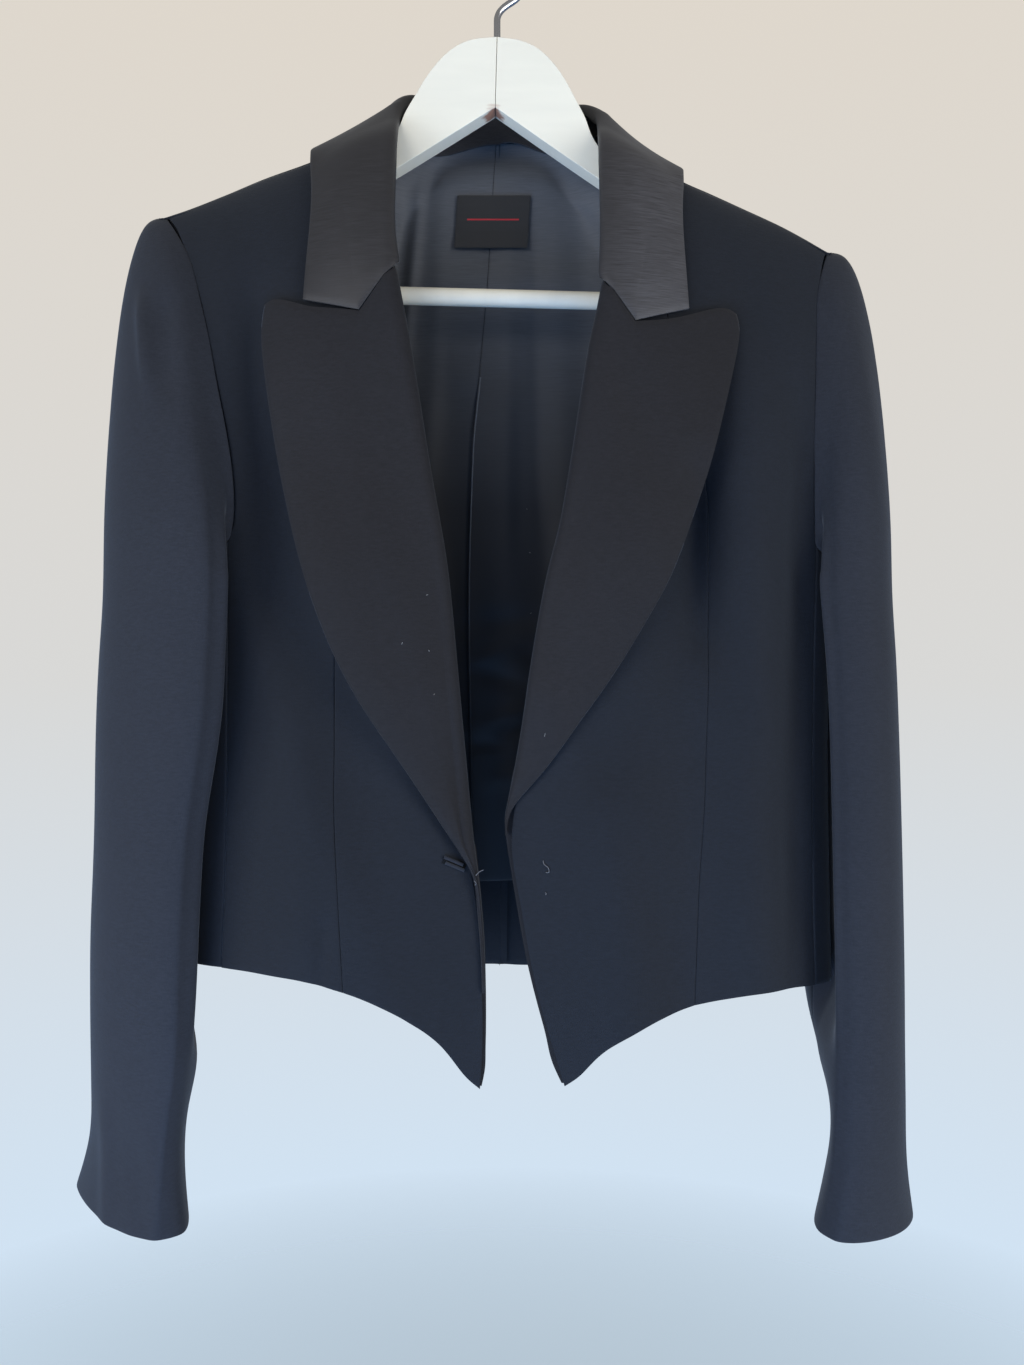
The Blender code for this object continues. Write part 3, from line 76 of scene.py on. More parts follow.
# Long soft folds that the fronts and back hang in. Height is out of the body.
FOLDS = dict(
    face=("front",) * 13 + ("back",) * 3,
    x_top=(-141, -118, 148, 176, 112, 62, -104, -96, -14, 12, 152, 66, 120, -95, 88, -20),
    x_low=(-136, -112, 144, 172, 118, 70, -104, -99, -8, 22, 158, 72, 114, -84, 80, -14),
    z_top=(-190, -420, -230, -230, -300, -480, -300, -570, -440, -440, -300, -460, -440, -300, -280, -330),
    z_low=(-400, -600, -600, -600, -420, -640, -640, -612, -690, -690, -620, -660, -640, -600, -600, -600),
    width=(13, 18, 24, 9, 11, 26, 46, 4.5, 40, 40, 17, 28, 24, 26, 24, 30),
    height=(-5, 3, 6, -6, -5, 3, 9, -1.4, -5.5, -8, 4, 3, -4, 5, 4, -4),
)

# Under the lapels' outer edges the fronts fall away in a hollow.
HOLLOWS = dict(
    x=(-142, -129, -114, -92, -74, 126, 115, 106),
    z=(-255, -325, -396, -448, -500, -290, -345, -410),
    width=(13, 20, 24, 26, 24, 12, 16, 20),
    long=(48, 70, 55, 55, 45, 45, 48, 55),
    height=(-4.0, -9.0, -7.5, -7.0, -4.5, -4.0, -12.0, -7.0),
)

# Armhole of each side, from the shoulder point down the front and up the back.
ARMHOLE = {
    "right": dict(
        x=(-201, -189, -182.5, -176.6, -171, -163, -156, -151.7, -151, -155, 0, -178, -170, -168, -173, -184, -195,
           -201),
        z=(-160, -175.5, -189, -205, -221.5, -256, -291, -321, -338, -360, -369, -350, -318, -288, -245, -200,
           -173, -160),
        face="ffffffffffsbbbbbbb",
    ),
    "left": dict(
        x=(200, 194, 189.5, 187.5, 186.3, 185.3, 184.5, 185, 185.5, 187, 0, 186, 178, 174, 178, 188, 196, 200),
        z=(-181, -197, -211, -229.5, -248, -267, -290, -325, -348, -362, -371, -352, -320, -292, -250, -212, -192,
           -181),
        face="ffffffffffsbbbbbbb",
    ),
}
ARMHOLE_FRONT_LOW = 9      # row where the side front's seam starts
ARMHOLE_BACK_LOW = 13      # row where the side back seam starts
FRONT_STEPS = 9            # points along the armhole: front, underarm and back
UNDERARM_STEPS = 8
BACK_STEPS = 7
SEAM_STEPS = 11            # steps down each long seam below the armhole

# Vertical seams, read by height: princess, side front and side back.
PRINCESS = {
    "right": dict(z=(-630, -560, -500, -440, -340, -240, -112), x=(-85, -89, -92, -92.3, -88, -83, -81)),
    "left": dict(z=(-630, -560, -508, -451, -380, -340, -240, -116), x=(113.5, 116, 119.4, 121, 122.3, 122, 98, 82)),
}
SIDE_FRONT = {
    "right": dict(z=(-620, -540, -440, -360), x=(-160, -157, -156, -155)),
    "left": dict(z=(-630, -540, -440, -362), x=(187, 185.5, 186, 187)),
}
SIDE_BACK = {
    "right": dict(z=(-620, -480, -400, -330, -288), x=(-116, -122, -132, -151, -168)),
    "left": dict(z=(-620, -480, -400, -330, -292), x=(122, 128, 138, 158, 174)),
}

# Hem of the fronts, by distance across, from the pointed corner outwards.
FRONT_HEM = {
    "right": dict(
        x=(-190, -162, -123, -111, -86.6, -67.3, -52.5, -40.6, -31.6, -23.7, -15.8, -9),
        z=(-606, -606, -607.7, -608.8, -615, -623, -631.3, -639.8, -648, -658.2, -668.6, -674.4),
    ),
    "left": dict(
        x=(38.9, 42.8, 53, 63.7, 76.7, 93.7, 122.4, 160.4, 176.4, 200),
        z=(-672.0, -669.6, -658.4, -648, -639.8, -631.6, -623.8, -618.5, -618, -618.5),
    ),
}

# Front edge of each side: the lapel's roll down to the break, then the edge
# itself. inset is how far the front's own cloth stays back from it.
FRONT_EDGE = {
    "right": dict(
        z=(-674.4, -666, -632, -596, -560, -540, -512, -428, -381, -317, -253, -205, -190, -160, -104),
        x=(-9, -6.8, -6.1, -6.7, -9.4, -11.6, -14.4, -21.6, -26.1, -36.7, -46.8, -55.6, -58, -59, -58.5),
        inset=(0.4, 1, 1.8, 2, 3, 4.6, 5.6, 6.5, 6.8, 6.8, 6.8, 7.2, 9, 10, 12.5),
    ),
    "left": dict(
        z=(-672.0, -669, -640, -603, -563, -546, -532, -520, -509, -470, -428, -384, -350, -317, -255, -213, -197,
           -160, -107),
        x=(38.9, 36.1, 27.6, 18, 10.7, 7.9, 5.7, 5.1, 6.8, 13.5, 19.6, 27.4, 35.7, 41.3, 50.9, 59, 60.3, 60.5, 60.5),
        inset=(0.4, 0.8, 1.5, 2, 2.2, 2.4, 2.8, 3.6, 4.6, 5.8, 6.5, 6.8, 6.8, 6.8, 6.8, 7.2, 9, 9.5, 10.5),
    ),
}


def read(keys, values, at):
    """Read a table between its rows, along a smooth curve that never overshoots."""
    keys = np.asarray(keys, float)
    values = np.asarray(values, float)
    order = np.argsort(keys)
    keys, values = keys[order], values[order]
    step = np.diff(keys)
    slope = np.diff(values) / step
    tangent = np.zeros(len(keys))
    tangent[0], tangent[-1] = slope[0], slope[-1]
    for row in range(1, len(keys) - 1):
        before, after = slope[row - 1], slope[row]
        if before * after > 0:
            first = 2 * step[row] + step[row - 1]
            second = step[row] + 2 * step[row - 1]
            tangent[row] = (first + second) / (first / before + second / after)
    at = np.clip(np.asarray(at, float), keys[0], keys[-1])
    row = np.clip(np.searchsorted(keys, at, side="right") - 1, 0, len(keys) - 2)
    t = (at - keys[row]) / step[row]
    rise = step[row]
    return (
        (1 + 2 * t) * (1 - t) ** 2 * values[row]
        + t * (1 - t) ** 2 * rise * tangent[row]
        + t * t * (3 - 2 * t) * values[row + 1]
        + t * t * (t - 1) * rise * tangent[row + 1]
    )


def at_height(table, column, z):
    """One column of a table whose rows go by height."""
    return read(table["z"], table[column], z)


def way_along(points, power=1.0):
    """Distance gone at each point of a line; a lower power evens out long steps."""
    step = np.linalg.norm(np.diff(points, axis=0), axis=1)
    return np.concatenate([[0.0], np.cumsum(step**power)])


def along(points, fractions):
    """Points at fractions of the way along a smooth curve through some points."""
    points = np.asarray(points, float)
    way = way_along(points)
    spots = np.asarray(fractions, float) * way[-1]
    return np.stack([read(way, column, spots) for column in points.T], axis=-1)


def steps(count):
    """Even fractions from 0 to 1, in a number of steps."""
    return np.linspace(0.0, 1.0, count + 1)


def ease(value):
    """0 to 1, smooth at both ends."""
    value = np.clip(value, 0.0, 1.0)
    return value * value * (3 - 2 * value)


def crest(x):
    return read(CREST["x"], CREST["z"], x)


def half_width(x, z):
    return np.where(x < CENTRE_X, at_height(BODY, "right", z), at_height(BODY, "left", z))


def soft_folds(folds, x, z, rise, end, fall):
    """How far long soft folds stand out at a place.

    Each goes straight from its top to its low end. It rises from the top at the rate
    rise, and falls away at the rate fall towards end, a share of its length.
    """
    depth = np.zeros(np.broadcast(x, z).shape)
    for x_top, x_low, z_top, z_low, width, height in folds:
        down = (z_top - z) / (z_top - z_low)
        middle = x_top + (x_low - x_top) * np.clip(down, 0, 1)
        length = ease(down * rise) * ease((end - down) * fall)
        depth += height * length * np.exp(-(((x - middle) / width) ** 2))
    return depth


def on_body(x, z, face, folds=True):
    """Points of the cloth's outside on one face of the body."""
    x, z = np.broadcast_arrays(np.asarray(x, float), np.asarray(z, float))
    drop = np.maximum(crest(x) - z, 0.0)
    across = np.clip(np.abs(x - CENTRE_X) / half_width(x, z), 0.0, 1.0)
    round_off = (1 - across**ROUNDNESS) ** (1 / ROUNDNESS)
    rise = FRONT_CREST
    if face == "back":
        rise = NECK_CREST + (FRONT_CREST - NECK_CREST) * ease((np.abs(x) - NECK_HALF) / NECK_TO_SHOULDER)
    spread = np.sin(math.pi / 2 * np.clip(drop / rise, 0, 1)) ** CREST_POWER
    depth = at_height(BODY, face, z)
    if folds:
        hanging = [fold[1:] for fold in zip(*FOLDS.values()) if fold[0] == face]
        depth = depth + soft_folds(hanging, x, z, 4, 1.15, 4)
    depth = depth * round_off * spread
    side = -1 if face == "front" else 1
    return np.stack([x, side * depth, z], axis=-1)


def row_of(drop):
    """Row number of a drop below the shoulder line; rows are even near it."""
    return np.sign(drop) * np.abs(drop) ** CREST_POWER


def drop_of(row):
    return np.sign(row) * np.abs(row) ** (1 / CREST_POWER)


def over_body(x, row, face, folds=True):
    """Points by row: negative rows are past the shoulder line, on the other face."""
    x, row = np.broadcast_arrays(np.asarray(x, float), np.asarray(row, float))
    other = "back" if face == "front" else "front"
    z = crest(x) - np.abs(drop_of(row))
    near = on_body(x, z, face, folds)
    far = on_body(x, z, other, folds)
    return np.where((row >= 0)[..., None], near, far)


def round_body(turn, z, side):
    """Points by turn: 0 is the centre front, 90 the side and 180 the centre back."""
    turn, z = np.broadcast_arrays(np.asarray(turn, float), np.asarray(z, float))
    reach = np.abs(np.sin(np.radians(turn))) ** (2 / ROUNDNESS)
    x = CENTRE_X + SIDES[side] * half_width(CENTRE_X + SIDES[side], z) * reach
    near = on_body(x, z, "front")
    far = on_body(x, z, "back")
    return np.where((turn <= 90)[..., None], near, far)


def surface_normals(form, first, second, step_first, step_second):
    """Unit normals of a form at two coordinates; seams that share points share these."""
    along_first = form(first + step_first, second) - form(first - step_first, second)
    along_second = form(first, second + step_second) - form(first, second - step_second)
    return unit(np.cross(along_first, along_second))


def unit(vectors):
    return vectors / np.maximum(np.linalg.norm(vectors, axis=-1, keepdims=True), 1e-9)


def turn_of(x, z, face, side):
    """The turn, in degrees, of a point given by its distance across."""
    if face == "s":
        return 90.0
    reach = abs(x - CENTRE_X) / float(half_width(CENTRE_X + SIDES[side], z))
    turn = math.degrees(math.asin(min(1.0, reach ** (ROUNDNESS / 2))))
    return turn if face == "f" else 180.0 - turn


def panel(inner, outer, top, bottom):
    """Grid of a pattern piece, filled in between its four edges."""
    inner, outer, top, bottom = (np.asarray(edge, float) for edge in (inner, outer, top, bottom))
    down = steps(len(inner) - 1)[:, None, None]
    across = steps(len(top) - 1)[None, :, None]
    sides = inner[:, None] * (1 - across) + outer[:, None] * across
    ends = top[None] * (1 - down) + bottom[None] * down
    corners = (
        (top[0] * (1 - across) + top[-1] * across) * (1 - down)
        + (bottom[0] * (1 - across) + bottom[-1] * across) * down
    )
    return sides + ends - corners


def seam_x(table, side, z):
    return at_height(table[side], "x", z)


def armhole(side):
    """The armhole as turn, height and 3D points, at the places all pieces share."""
    rows = ARMHOLE[side]
    turns = [turn_of(x, z, face, side) for x, z, face in zip(rows["x"], rows["z"], rows["face"])]
    count = len(turns)
    fine = np.linspace(0, count - 1, 40 * (count - 1) + 1)
    fine_turn = read(np.arange(count), turns, fine)
    fine_z = read(np.arange(count), rows["z"], fine)
    way = round_body(fine_turn, fine_z, side)
    length = way_along(way)
    stops = (0, ARMHOLE_FRONT_LOW, ARMHOLE_BACK_LOW, count - 1)
    places = []
    spans = (
        1 - (1 - steps(FRONT_STEPS)) ** 1.4,       # closer together towards the underarm
        steps(UNDERARM_STEPS) ** 1.25,
        steps(BACK_STEPS),
    )
    for start, end, share in zip(stops, stops[1:], spans):
        first, last = np.interp([start, end], fine, length)
        places.extend(np.interp(first + (last - first) * share[:-1], length, fine))
    places.append(count - 1.0)
    turn = read(np.arange(count), turns, places)
    z = read(np.arange(count), rows["z"], places)
    return dict(turn=turn, z=z, points=round_body(turn, z, side), place=np.array(places))


ARMHOLES = {side: armhole(side) for side in SIDES}


def hem_z(side, x):
    return read(FRONT_HEM[side]["x"], FRONT_HEM[side]["z"], x)


def body_rows(side):
    """Rows of a front as fractions of its drop, even along armhole and side seam."""
    hole = ARMHOLES[side]["points"][: FRONT_STEPS + 1]
    drops = crest(hole[:, 0]) - hole[:, 2]
    low = hole[-1, 2]
    hem = float(hem_z(side, seam_x(SIDE_FRONT, side, -600)))
    seam_z = low + (hem - low) * steps(SEAM_STEPS)[1:]
    seam_drop = crest(seam_x(SIDE_FRONT, side, seam_z)) - seam_z
    rows = row_of(np.concatenate([drops, seam_drop]))
    return (rows - rows[0]) / (rows[-1] - rows[0]), seam_z


def fall(x_of, start_row, end_z, fractions):
    """An edge down a face, as distance across and row, at the shared fractions."""
    end_x = float(x_of(end_z))
    end_row = float(row_of(crest(end_x) - end_z))
    rows = start_row + (end_row - start_row) * fractions
    x = np.full(len(rows), end_x)
    for _ in range(6):
        x = x_of(crest(x) - drop_of(rows))
    return np.stack([x, rows], axis=-1)


SHOULDER_SEAM_ROW = dict(x=(0, 60, 140, 199), row=(2.2, 2.0, 1.2, 0.0))   # how far it lies to the front
HALF_SEAM_ROW = 0.05
HEM_GUESS_Z = -615.0       # where the search for a seam's low end starts
PRINCESS_TOP_Z = -115.0
NECK_POINT_X = 66.0


def shoulder_row(x):
    return read(SHOULDER_SEAM_ROW["x"], SHOULDER_SEAM_ROW["row"], np.abs(x))


def princess_edge(side, shift):
    """The princess seam from shoulder to hem, moved across by half a seam."""
    fractions = body_rows(side)[0]

    def x_of(z):
        return seam_x(PRINCESS, side, z) + shift

    hem = HEM_GUESS_Z
    for _ in range(4):
        hem = float(hem_z(side, x_of(hem)))
    return fall(x_of, float(shoulder_row(x_of(PRINCESS_TOP_Z))) + HALF_SEAM_ROW, hem, fractions)


def front_inner_edge(side):
    """The front's own cloth edge: neckline, behind the roll, then the front edge."""
    table = FRONT_EDGE[side]

    def x_of(z):
        return at_height(table, "x", z) + SIDES[side] * at_height(table, "inset", z)

    start = float(shoulder_row(NECK_POINT_X)) + HALF_SEAM_ROW
    return fall(x_of, start, min(table["z"]) + 0.4, body_rows(side)[0])


def edge_between(start, end, count, z_of=None):
    """An edge from one corner to another; z_of bends it to a hem or neckline."""
    flat = start + (end - start) * steps(count)[:, None]
    if z_of is not None:
        flat[1:-1, 1] = row_of(crest(flat[1:-1, 0]) - z_of(flat[1:-1, 0]))
    return flat


# The cloth also hangs in faint waves that no seam stops.
WAVES = dict(
    across=(74.0, 47.0, 31.0),
    down=(210.0, 128.0, 83.0),
    start=(0.4, 2.1, 4.4),
    height=(0.34, 0.22, 0.13),
)
WAVES_FROM = 60.0          # full height at this drop below the shoulder line


def on_cloth(x, z, face):
    """Points of the outside with the faint waves of hanging cloth added."""
    points = on_body(x, z, face)
    wave = 0.0
    for across, down, start, height in zip(*WAVES.values()):
        wave = wave + height * np.sin(2 * math.pi * (points[..., 0] / across + points[..., 2] / down) + start)
    settled = ease((crest(points[..., 0]) - points[..., 2]) / WAVES_FROM)
    points[..., 1] += wave * settled * (-1 if face == "front" else 1)
    return points


def over_cloth(x, row, face):
    x, row = np.broadcast_arrays(np.asarray(x, float), np.asarray(row, float))
    other = "back" if face == "front" else "front"
    z = crest(x) - np.abs(drop_of(row))
    return np.where((row >= 0)[..., None], on_cloth(x, z, face), on_cloth(x, z, other))


def on_face(flat, face):
    """Points and normals of a piece laid out by distance across and row."""

    def form(x, row):
        points = over_cloth(x, row, face)
        if face == "front":
            for spot_x, spot_z, width, long, height in zip(*HOLLOWS.values()):
                near = ((points[..., 0] - spot_x) / width) ** 2 + ((points[..., 2] - spot_z) / long) ** 2
                points[..., 1] -= height * np.exp(-near)
        return points

    return form(flat[..., 0], flat[..., 1]), surface_normals(form, flat[..., 0], flat[..., 1], 0.5, 0.15)


def curve_weights(knots, places):
    """Weights that read points set at knots, at any places along one even curve."""
    count = len(knots)
    gap = np.diff(knots)
    bends, pulls = np.eye(count), np.zeros((count, count))
    for spot in range(1, count - 1):
        before, after = gap[spot - 1], gap[spot]
        bends[spot, spot - 1 : spot + 2] = (before, 2 * (before + after), after)
        pulls[spot, spot - 1 : spot + 2] = (6 / before, -6 / before - 6 / after, 6 / after)
    curve = np.linalg.solve(bends, pulls)
    cell = np.clip(np.searchsorted(knots, places, side="right") - 1, 0, count - 2)
    t = ((places - knots[cell]) / gap[cell])[:, None]
    size = gap[cell][:, None] ** 2 / 6
    own = np.eye(count)
    return (
        (1 - t) * own[cell]
        + t * own[cell + 1]
        + ((1 - t) ** 3 - (1 - t)) * size * curve[cell]
        + (t**3 - t) * size * curve[cell + 1]
    )


def smooth_weights(count, places):
    """The same for points that are evenly spaced."""
    return curve_weights(np.arange(float(count)), np.asarray(places, float))


EDGE_PLACES = (0.0, 0.035, 0.09)       # extra rows beside an edge, where the cloth turns


def places_along(count, finer):
    """Places along a row of points, finer than the points, and closest at both ends."""
    last = count - 1.0
    middle = np.linspace(0.0, last, int(last) * finer + 1)[1:-1]
    ends = np.array(EDGE_PLACES)
    return np.concatenate([ends, middle, last - ends[::-1]])


def closer(grid, down, across):
    """The same sheet with more rows and columns, along smooth curves."""
    rows = smooth_weights(grid.shape[0], places_along(grid.shape[0], down))
    columns = smooth_weights(grid.shape[1], places_along(grid.shape[1], across))
    return np.einsum("ri,ijk,cj->rck", rows, grid, columns)


def grid_normals(grid):
    """Unit normals of a sheet from its own points."""
    return unit(np.cross(np.gradient(grid, axis=0), np.gradient(grid, axis=1)))


def turned_edge(rows, columns, depth):
    """How far a sheet's outside falls away at its edges, where the cloth turns in."""
    row = np.minimum(np.arange(rows), np.arange(rows)[::-1])[:, None]
    column = np.minimum(np.arange(columns), np.arange(columns)[::-1])[None, :]
    ring = np.minimum(np.minimum(row, column), 2)
    return depth * np.array([1.0, 0.3, 0.0])[ring][..., None]


# Allowances behind a seam: their reach, and their way in from the seam as shares
# of the reach and depths behind the outside.
ALLOWANCE = 5.0
NARROW = 2.5
TRIMMED = 0.3
ALLOWANCE_CLOTH = 0.6
ALLOWANCE_TURN = ((1.0, 2.7), (0.2, 2.4), (0.022, 1.9), (0.02, 0.9), (0.016, 0.3))


def allowance(sheet, where, reach):
    """Seam allowance: one edge is turned in and lies behind the neighbouring piece."""
    turn = {"left": (1, 1), "right": (1, -1), "top": (0, 1), "low": (0, -1)}[where]
    sheet = [np.swapaxes(part, 0, 1)[:: turn[1]] if turn[0] else part[:: turn[1]] for part in sheet]
    grid, normals, wall = sheet
    away = unit(grid[0] - grid[3])
    reach = np.broadcast_to(reach, grid.shape[1])[:, None]
    laid = [grid[0] + away * across * reach - normals[0] * inward for across, inward in ALLOWANCE_TURN]
    grid = np.concatenate([np.array(laid), grid])
    normals = np.concatenate([np.repeat(normals[:1], len(laid), axis=0), normals])
    wall = np.concatenate([np.full((len(laid), *wall.shape[1:]), ALLOWANCE_CLOTH), wall])
    sheet = [part[:: turn[1]] for part in (grid, normals, wall)]
    return [np.swapaxes(part, 0, 1) if turn[0] else part for part in sheet]


def placed(name, data):
    """A new object of the scene."""
    piece = bpy.data.objects.new(name, data)
    bpy.context.scene.collection.objects.link(piece)
    return piece


def finished(mesh, form, angle):
    """The piece that a form makes: smooth, with an edge where it turns by an angle."""
    form.to_mesh(mesh)
    form.free()
    mesh.shade_smooth()
    mesh.set_sharp_from_angle(angle=math.radians(angle))
    return placed(mesh.name, mesh)


def sewn(name, grid, wall, inside, normals=None, turned=0.45, allowances=()):
    """A sewn cloth piece: outside, inside and the turned edge between them."""
    normals = grid_normals(grid) if normals is None else normals.copy()
    outward = np.sum(normals[-1] * (grid[-1] - np.asarray(inside, float)))
    normals *= 1 if outward > 0 else -1
    rows, columns = grid.shape[:2]
    fall_off = turned_edge(rows, columns, turned)
    wall = np.broadcast_to(wall, grid.shape[:2])[..., None] - 1.5 * fall_off
    sheet = [grid - normals * fall_off, normals, np.maximum(wall, 0.25)]
    for where, reach in allowances:
        sheet = allowance(sheet, where, reach)
    outer, normals, wall = sheet
    rows, columns = outer.shape[:2]
    points = np.concatenate([outer.reshape(-1, 3), (outer - normals * wall).reshape(-1, 3)]) * MM
    back = rows * columns
    number = np.arange(back).reshape(rows, columns)
    quads = np.stack([number[:-1, :-1], number[1:, :-1], number[1:, 1:], number[:-1, 1:]], axis=-1)
    quads = quads.reshape(-1, 4)
    rim = np.concatenate([number[0, :-1], number[:-1, -1], number[-1, :0:-1], number[:0:-1, 0]])
    after = np.roll(rim, -1)
    edge = np.stack([rim, after, back + after, back + rim], axis=-1)
    faces = np.concatenate([quads, back + quads[:, ::-1], edge])
    mesh = bpy.data.meshes.new(name)
    mesh.from_pydata(points, [], faces.tolist())
    form = bmesh.new()
    form.from_mesh(mesh)
    if form.calc_volume(signed=True) < 0:
        bmesh.ops.reverse_faces(form, faces=form.faces)
    return finished(mesh, form, 62)


def nodes_of(name, base, roughness, metallic=0.0):
    """A surface with its shader, and a way to add and join nodes."""
    surface = bpy.data.materials.new(name)
    surface.use_nodes = True
    tree = surface.node_tree
    shader = tree.nodes["Principled BSDF"]
    shader.inputs["Base Color"].default_value = (*base, 1.0)
    shader.inputs["Roughness"].default_value = roughness
    shader.inputs["Metallic"].default_value = metallic
    place = tree.nodes.new("ShaderNodeTexCoord").outputs["Object"]

    def add(kind, inputs=(), **settings):
        node = tree.nodes.new("ShaderNode" + kind)
        for key, value in settings.items():
            setattr(node, key, value)
        for key, value in dict(inputs).items():
            if isinstance(value, bpy.types.NodeSocket):
                tree.links.new(value, node.inputs[key])
            else:
                node.inputs[key].default_value = value
        return node

    def stretched(size):
        return add("Mapping", {"Vector": place, "Scale": size}).outputs["Vector"]

    def noise(size, detail=2.0, rough=0.5):
        inputs = {"Vector": stretched(size), "Scale": 1.0, "Detail": detail, "Roughness": rough}
        return add("TexNoise", inputs).outputs["Fac"]

    def between(value, low, high, to_low=0.0, to_high=1.0):
        limits = {"Value": value, "From Min": low, "From Max": high, "To Min": to_low, "To Max": to_high}
        return add("MapRange", limits).outputs["Result"]

    def blend(share, first, second):
        mix = add("Mix", {0: share}, data_type="RGBA")
        for socket, colour in ((6, first), (7, second)):
            if isinstance(colour, bpy.types.NodeSocket):
                tree.links.new(colour, mix.inputs[socket])
            else:
                mix.inputs[socket].default_value = (*colour, 1.0)
        return mix.outputs[2]

    def sums(kind, first, second):
        return add("Math", {0: first, 1: second}, operation=kind).outputs[0]

    def plus(first, second, share):
        """The first value with a share of the second added."""
        return sums("ADD", first, sums("MULTIPLY", second, share))

    def lead(value, socket):
        tree.links.new(value, shader.inputs[socket])

    def raised(height, distance, strength=1.0):
        bump = add("Bump", {"Height": height, "Distance": distance, "Strength": strength})
        lead(bump.outputs["Normal"], "Normal")

    return SimpleNamespace(
        surface=surface, shader=shader, add=add, noise=noise, between=between, blend=blend, sums=sums, plus=plus,
        lead=lead, raised=raised, place=place, stretched=stretched,
    )


def nap(kit, weight, spread, shine):
    """The short hairs of a cloth, which catch the light at a low angle."""
    kit.shader.inputs["Sheen Weight"].default_value = weight
    kit.shader.inputs["Sheen Roughness"].default_value = spread
    kit.shader.inputs["Specular IOR Level"].default_value = shine


# Sizes of what a cloth shows, as repeats in a metre across, through and down.
CREPE_GRAIN, CREPE_SLUB, CREPE_CLOUD = (1500, 1500, 1500), (260, 260, 900), (11, 11, 7)
CREPE_DEPTH = 0.00022      # relief of the weave, in metres
CREPE_ROUGHNESS = (0.70, 0.86)
MIDDLE = (0.3, 0.7)        # where most of a noise's values lie


def crepe(name, dark, light):
    """Black crepe: a dry pebbled weave, a little uneven in colour, with a short nap."""
    kit = nodes_of(name, light, 0.78)
    grain = kit.noise(CREPE_GRAIN, 2.0, 0.6)
    slub = kit.noise(CREPE_SLUB)
    cloud = kit.noise(CREPE_CLOUD, 3.0)
    weave = kit.plus(grain, slub, 0.6)
    tone = kit.blend(kit.between(weave, 0.55, 1.05), dark, light)
    shade = kit.between(cloud, *MIDDLE, 0.0, 0.22)
    kit.lead(kit.blend(shade, tone, tuple(0.55 * part for part in dark)), "Base Color")
    kit.lead(kit.between(grain, *MIDDLE, *CREPE_ROUGHNESS), "Roughness")
    kit.raised(weave, CREPE_DEPTH, 0.55)
    nap(kit, 0.16, 0.40, 0.22)
    return kit.surface


BODY_CREPE = crepe("body_crepe", (0.0080, 0.0101, 0.0150), (0.0134, 0.0166, 0.0243))
FRONT_COLUMNS = 9
SIDE_FRONT_COLUMNS = 6
INSIDE_BODY = (CENTRE_X, 0.0, -400.0)


def front_flat(side):
    half = SEAM / 2 * SIDES[side]
    inner = front_inner_edge(side)
    outer = princess_edge(side, -half)
    top = edge_between(inner[0], outer[0], FRONT_COLUMNS)
    top[1:-1, 1] = shoulder_row(top[1:-1, 0]) + HALF_SEAM_ROW
    bottom = edge_between(inner[-1], outer[-1], FRONT_COLUMNS, lambda x: hem_z(side, x))
    return panel(inner, outer, top, bottom)


def side_front_flat(side):
    half = SEAM / 2 * SIDES[side]
    inner = princess_edge(side, half)
    hole = ARMHOLES[side]["points"][: FRONT_STEPS + 1]
    seam_z = body_rows(side)[1]
    x = np.concatenate([hole[:, 0], seam_x(SIDE_FRONT, side, seam_z) - half])
    z = np.concatenate([hole[:, 2], seam_z])
    outer = np.stack([x, row_of(np.maximum(crest(x) - z, 0.0))], axis=-1)
    outer[0, 1] = HALF_SEAM_ROW
    top = edge_between(inner[0], outer[0], SIDE_FRONT_COLUMNS)
    top[1:-1, 1] = shoulder_row(top[1:-1, 0]) + HALF_SEAM_ROW
    bottom = edge_between(inner[-1], outer[-1], SIDE_FRONT_COLUMNS, lambda x: hem_z(side, x))
    return panel(inner, outer, top, bottom)


def belongs(piece, surface, node=None):
    """The piece's finish and slot; it rides on the body, and may stand for a CAD node."""
    piece.data.materials.append(surface)
    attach(piece, "root")
    if node:
        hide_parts(node)


def hang(piece, node, surface):
    """A cloth piece stands for its CAD node."""
    belongs(piece, surface, node)


for side in SIDES:
    for name, flat, cut in (
        (f"front_{side}", front_flat(side), (0.100, 0.575)),
        (f"side_front_{side}", side_front_flat(side), (0.125, 0.500)),
    ):
        grid, normals = on_face(closer(flat, 6, 8), "front")
        behind = [("left", ALLOWANCE), ("right", NARROW)] if name.startswith("side") else []
        piece = sewn(f"{name}_cloth", grid, CLOTH, INSIDE_BODY, normals, 0.25, behind)
        hang(piece, name, BODY_CREPE)

# --- Side panels and backs --------------------------------------------------------
# Two panels go round the sides under the arms, and two backs meet in a centre
# back seam. The back shoulder is brought slightly forward over the hanger. They
# are the same crepe, sewn to the side fronts along the side seams.

HEM_Z = {"right": -606.0, "left": -618.0}
BACK_HEM = dict(x=(-190, -116, 0, 122, 205), z=(-606, -614, -621.5, -624, -618.5))
CENTRE_BACK_X = 1.0
CENTRE_SEAM = (0.16, 0.985)    # shares of the centre seam between which its allowance is left on


def back_hem_z(x):
    return read(BACK_HEM["x"], BACK_HEM["z"], x)


def side_back_z(side):
    low = ARMHOLES[side]["points"][FRONT_STEPS + UNDERARM_STEPS, 2]
    hem = float(back_hem_z(seam_x(SIDE_BACK, side, -612)))
    return low + (hem - low) * steps(SEAM_STEPS)


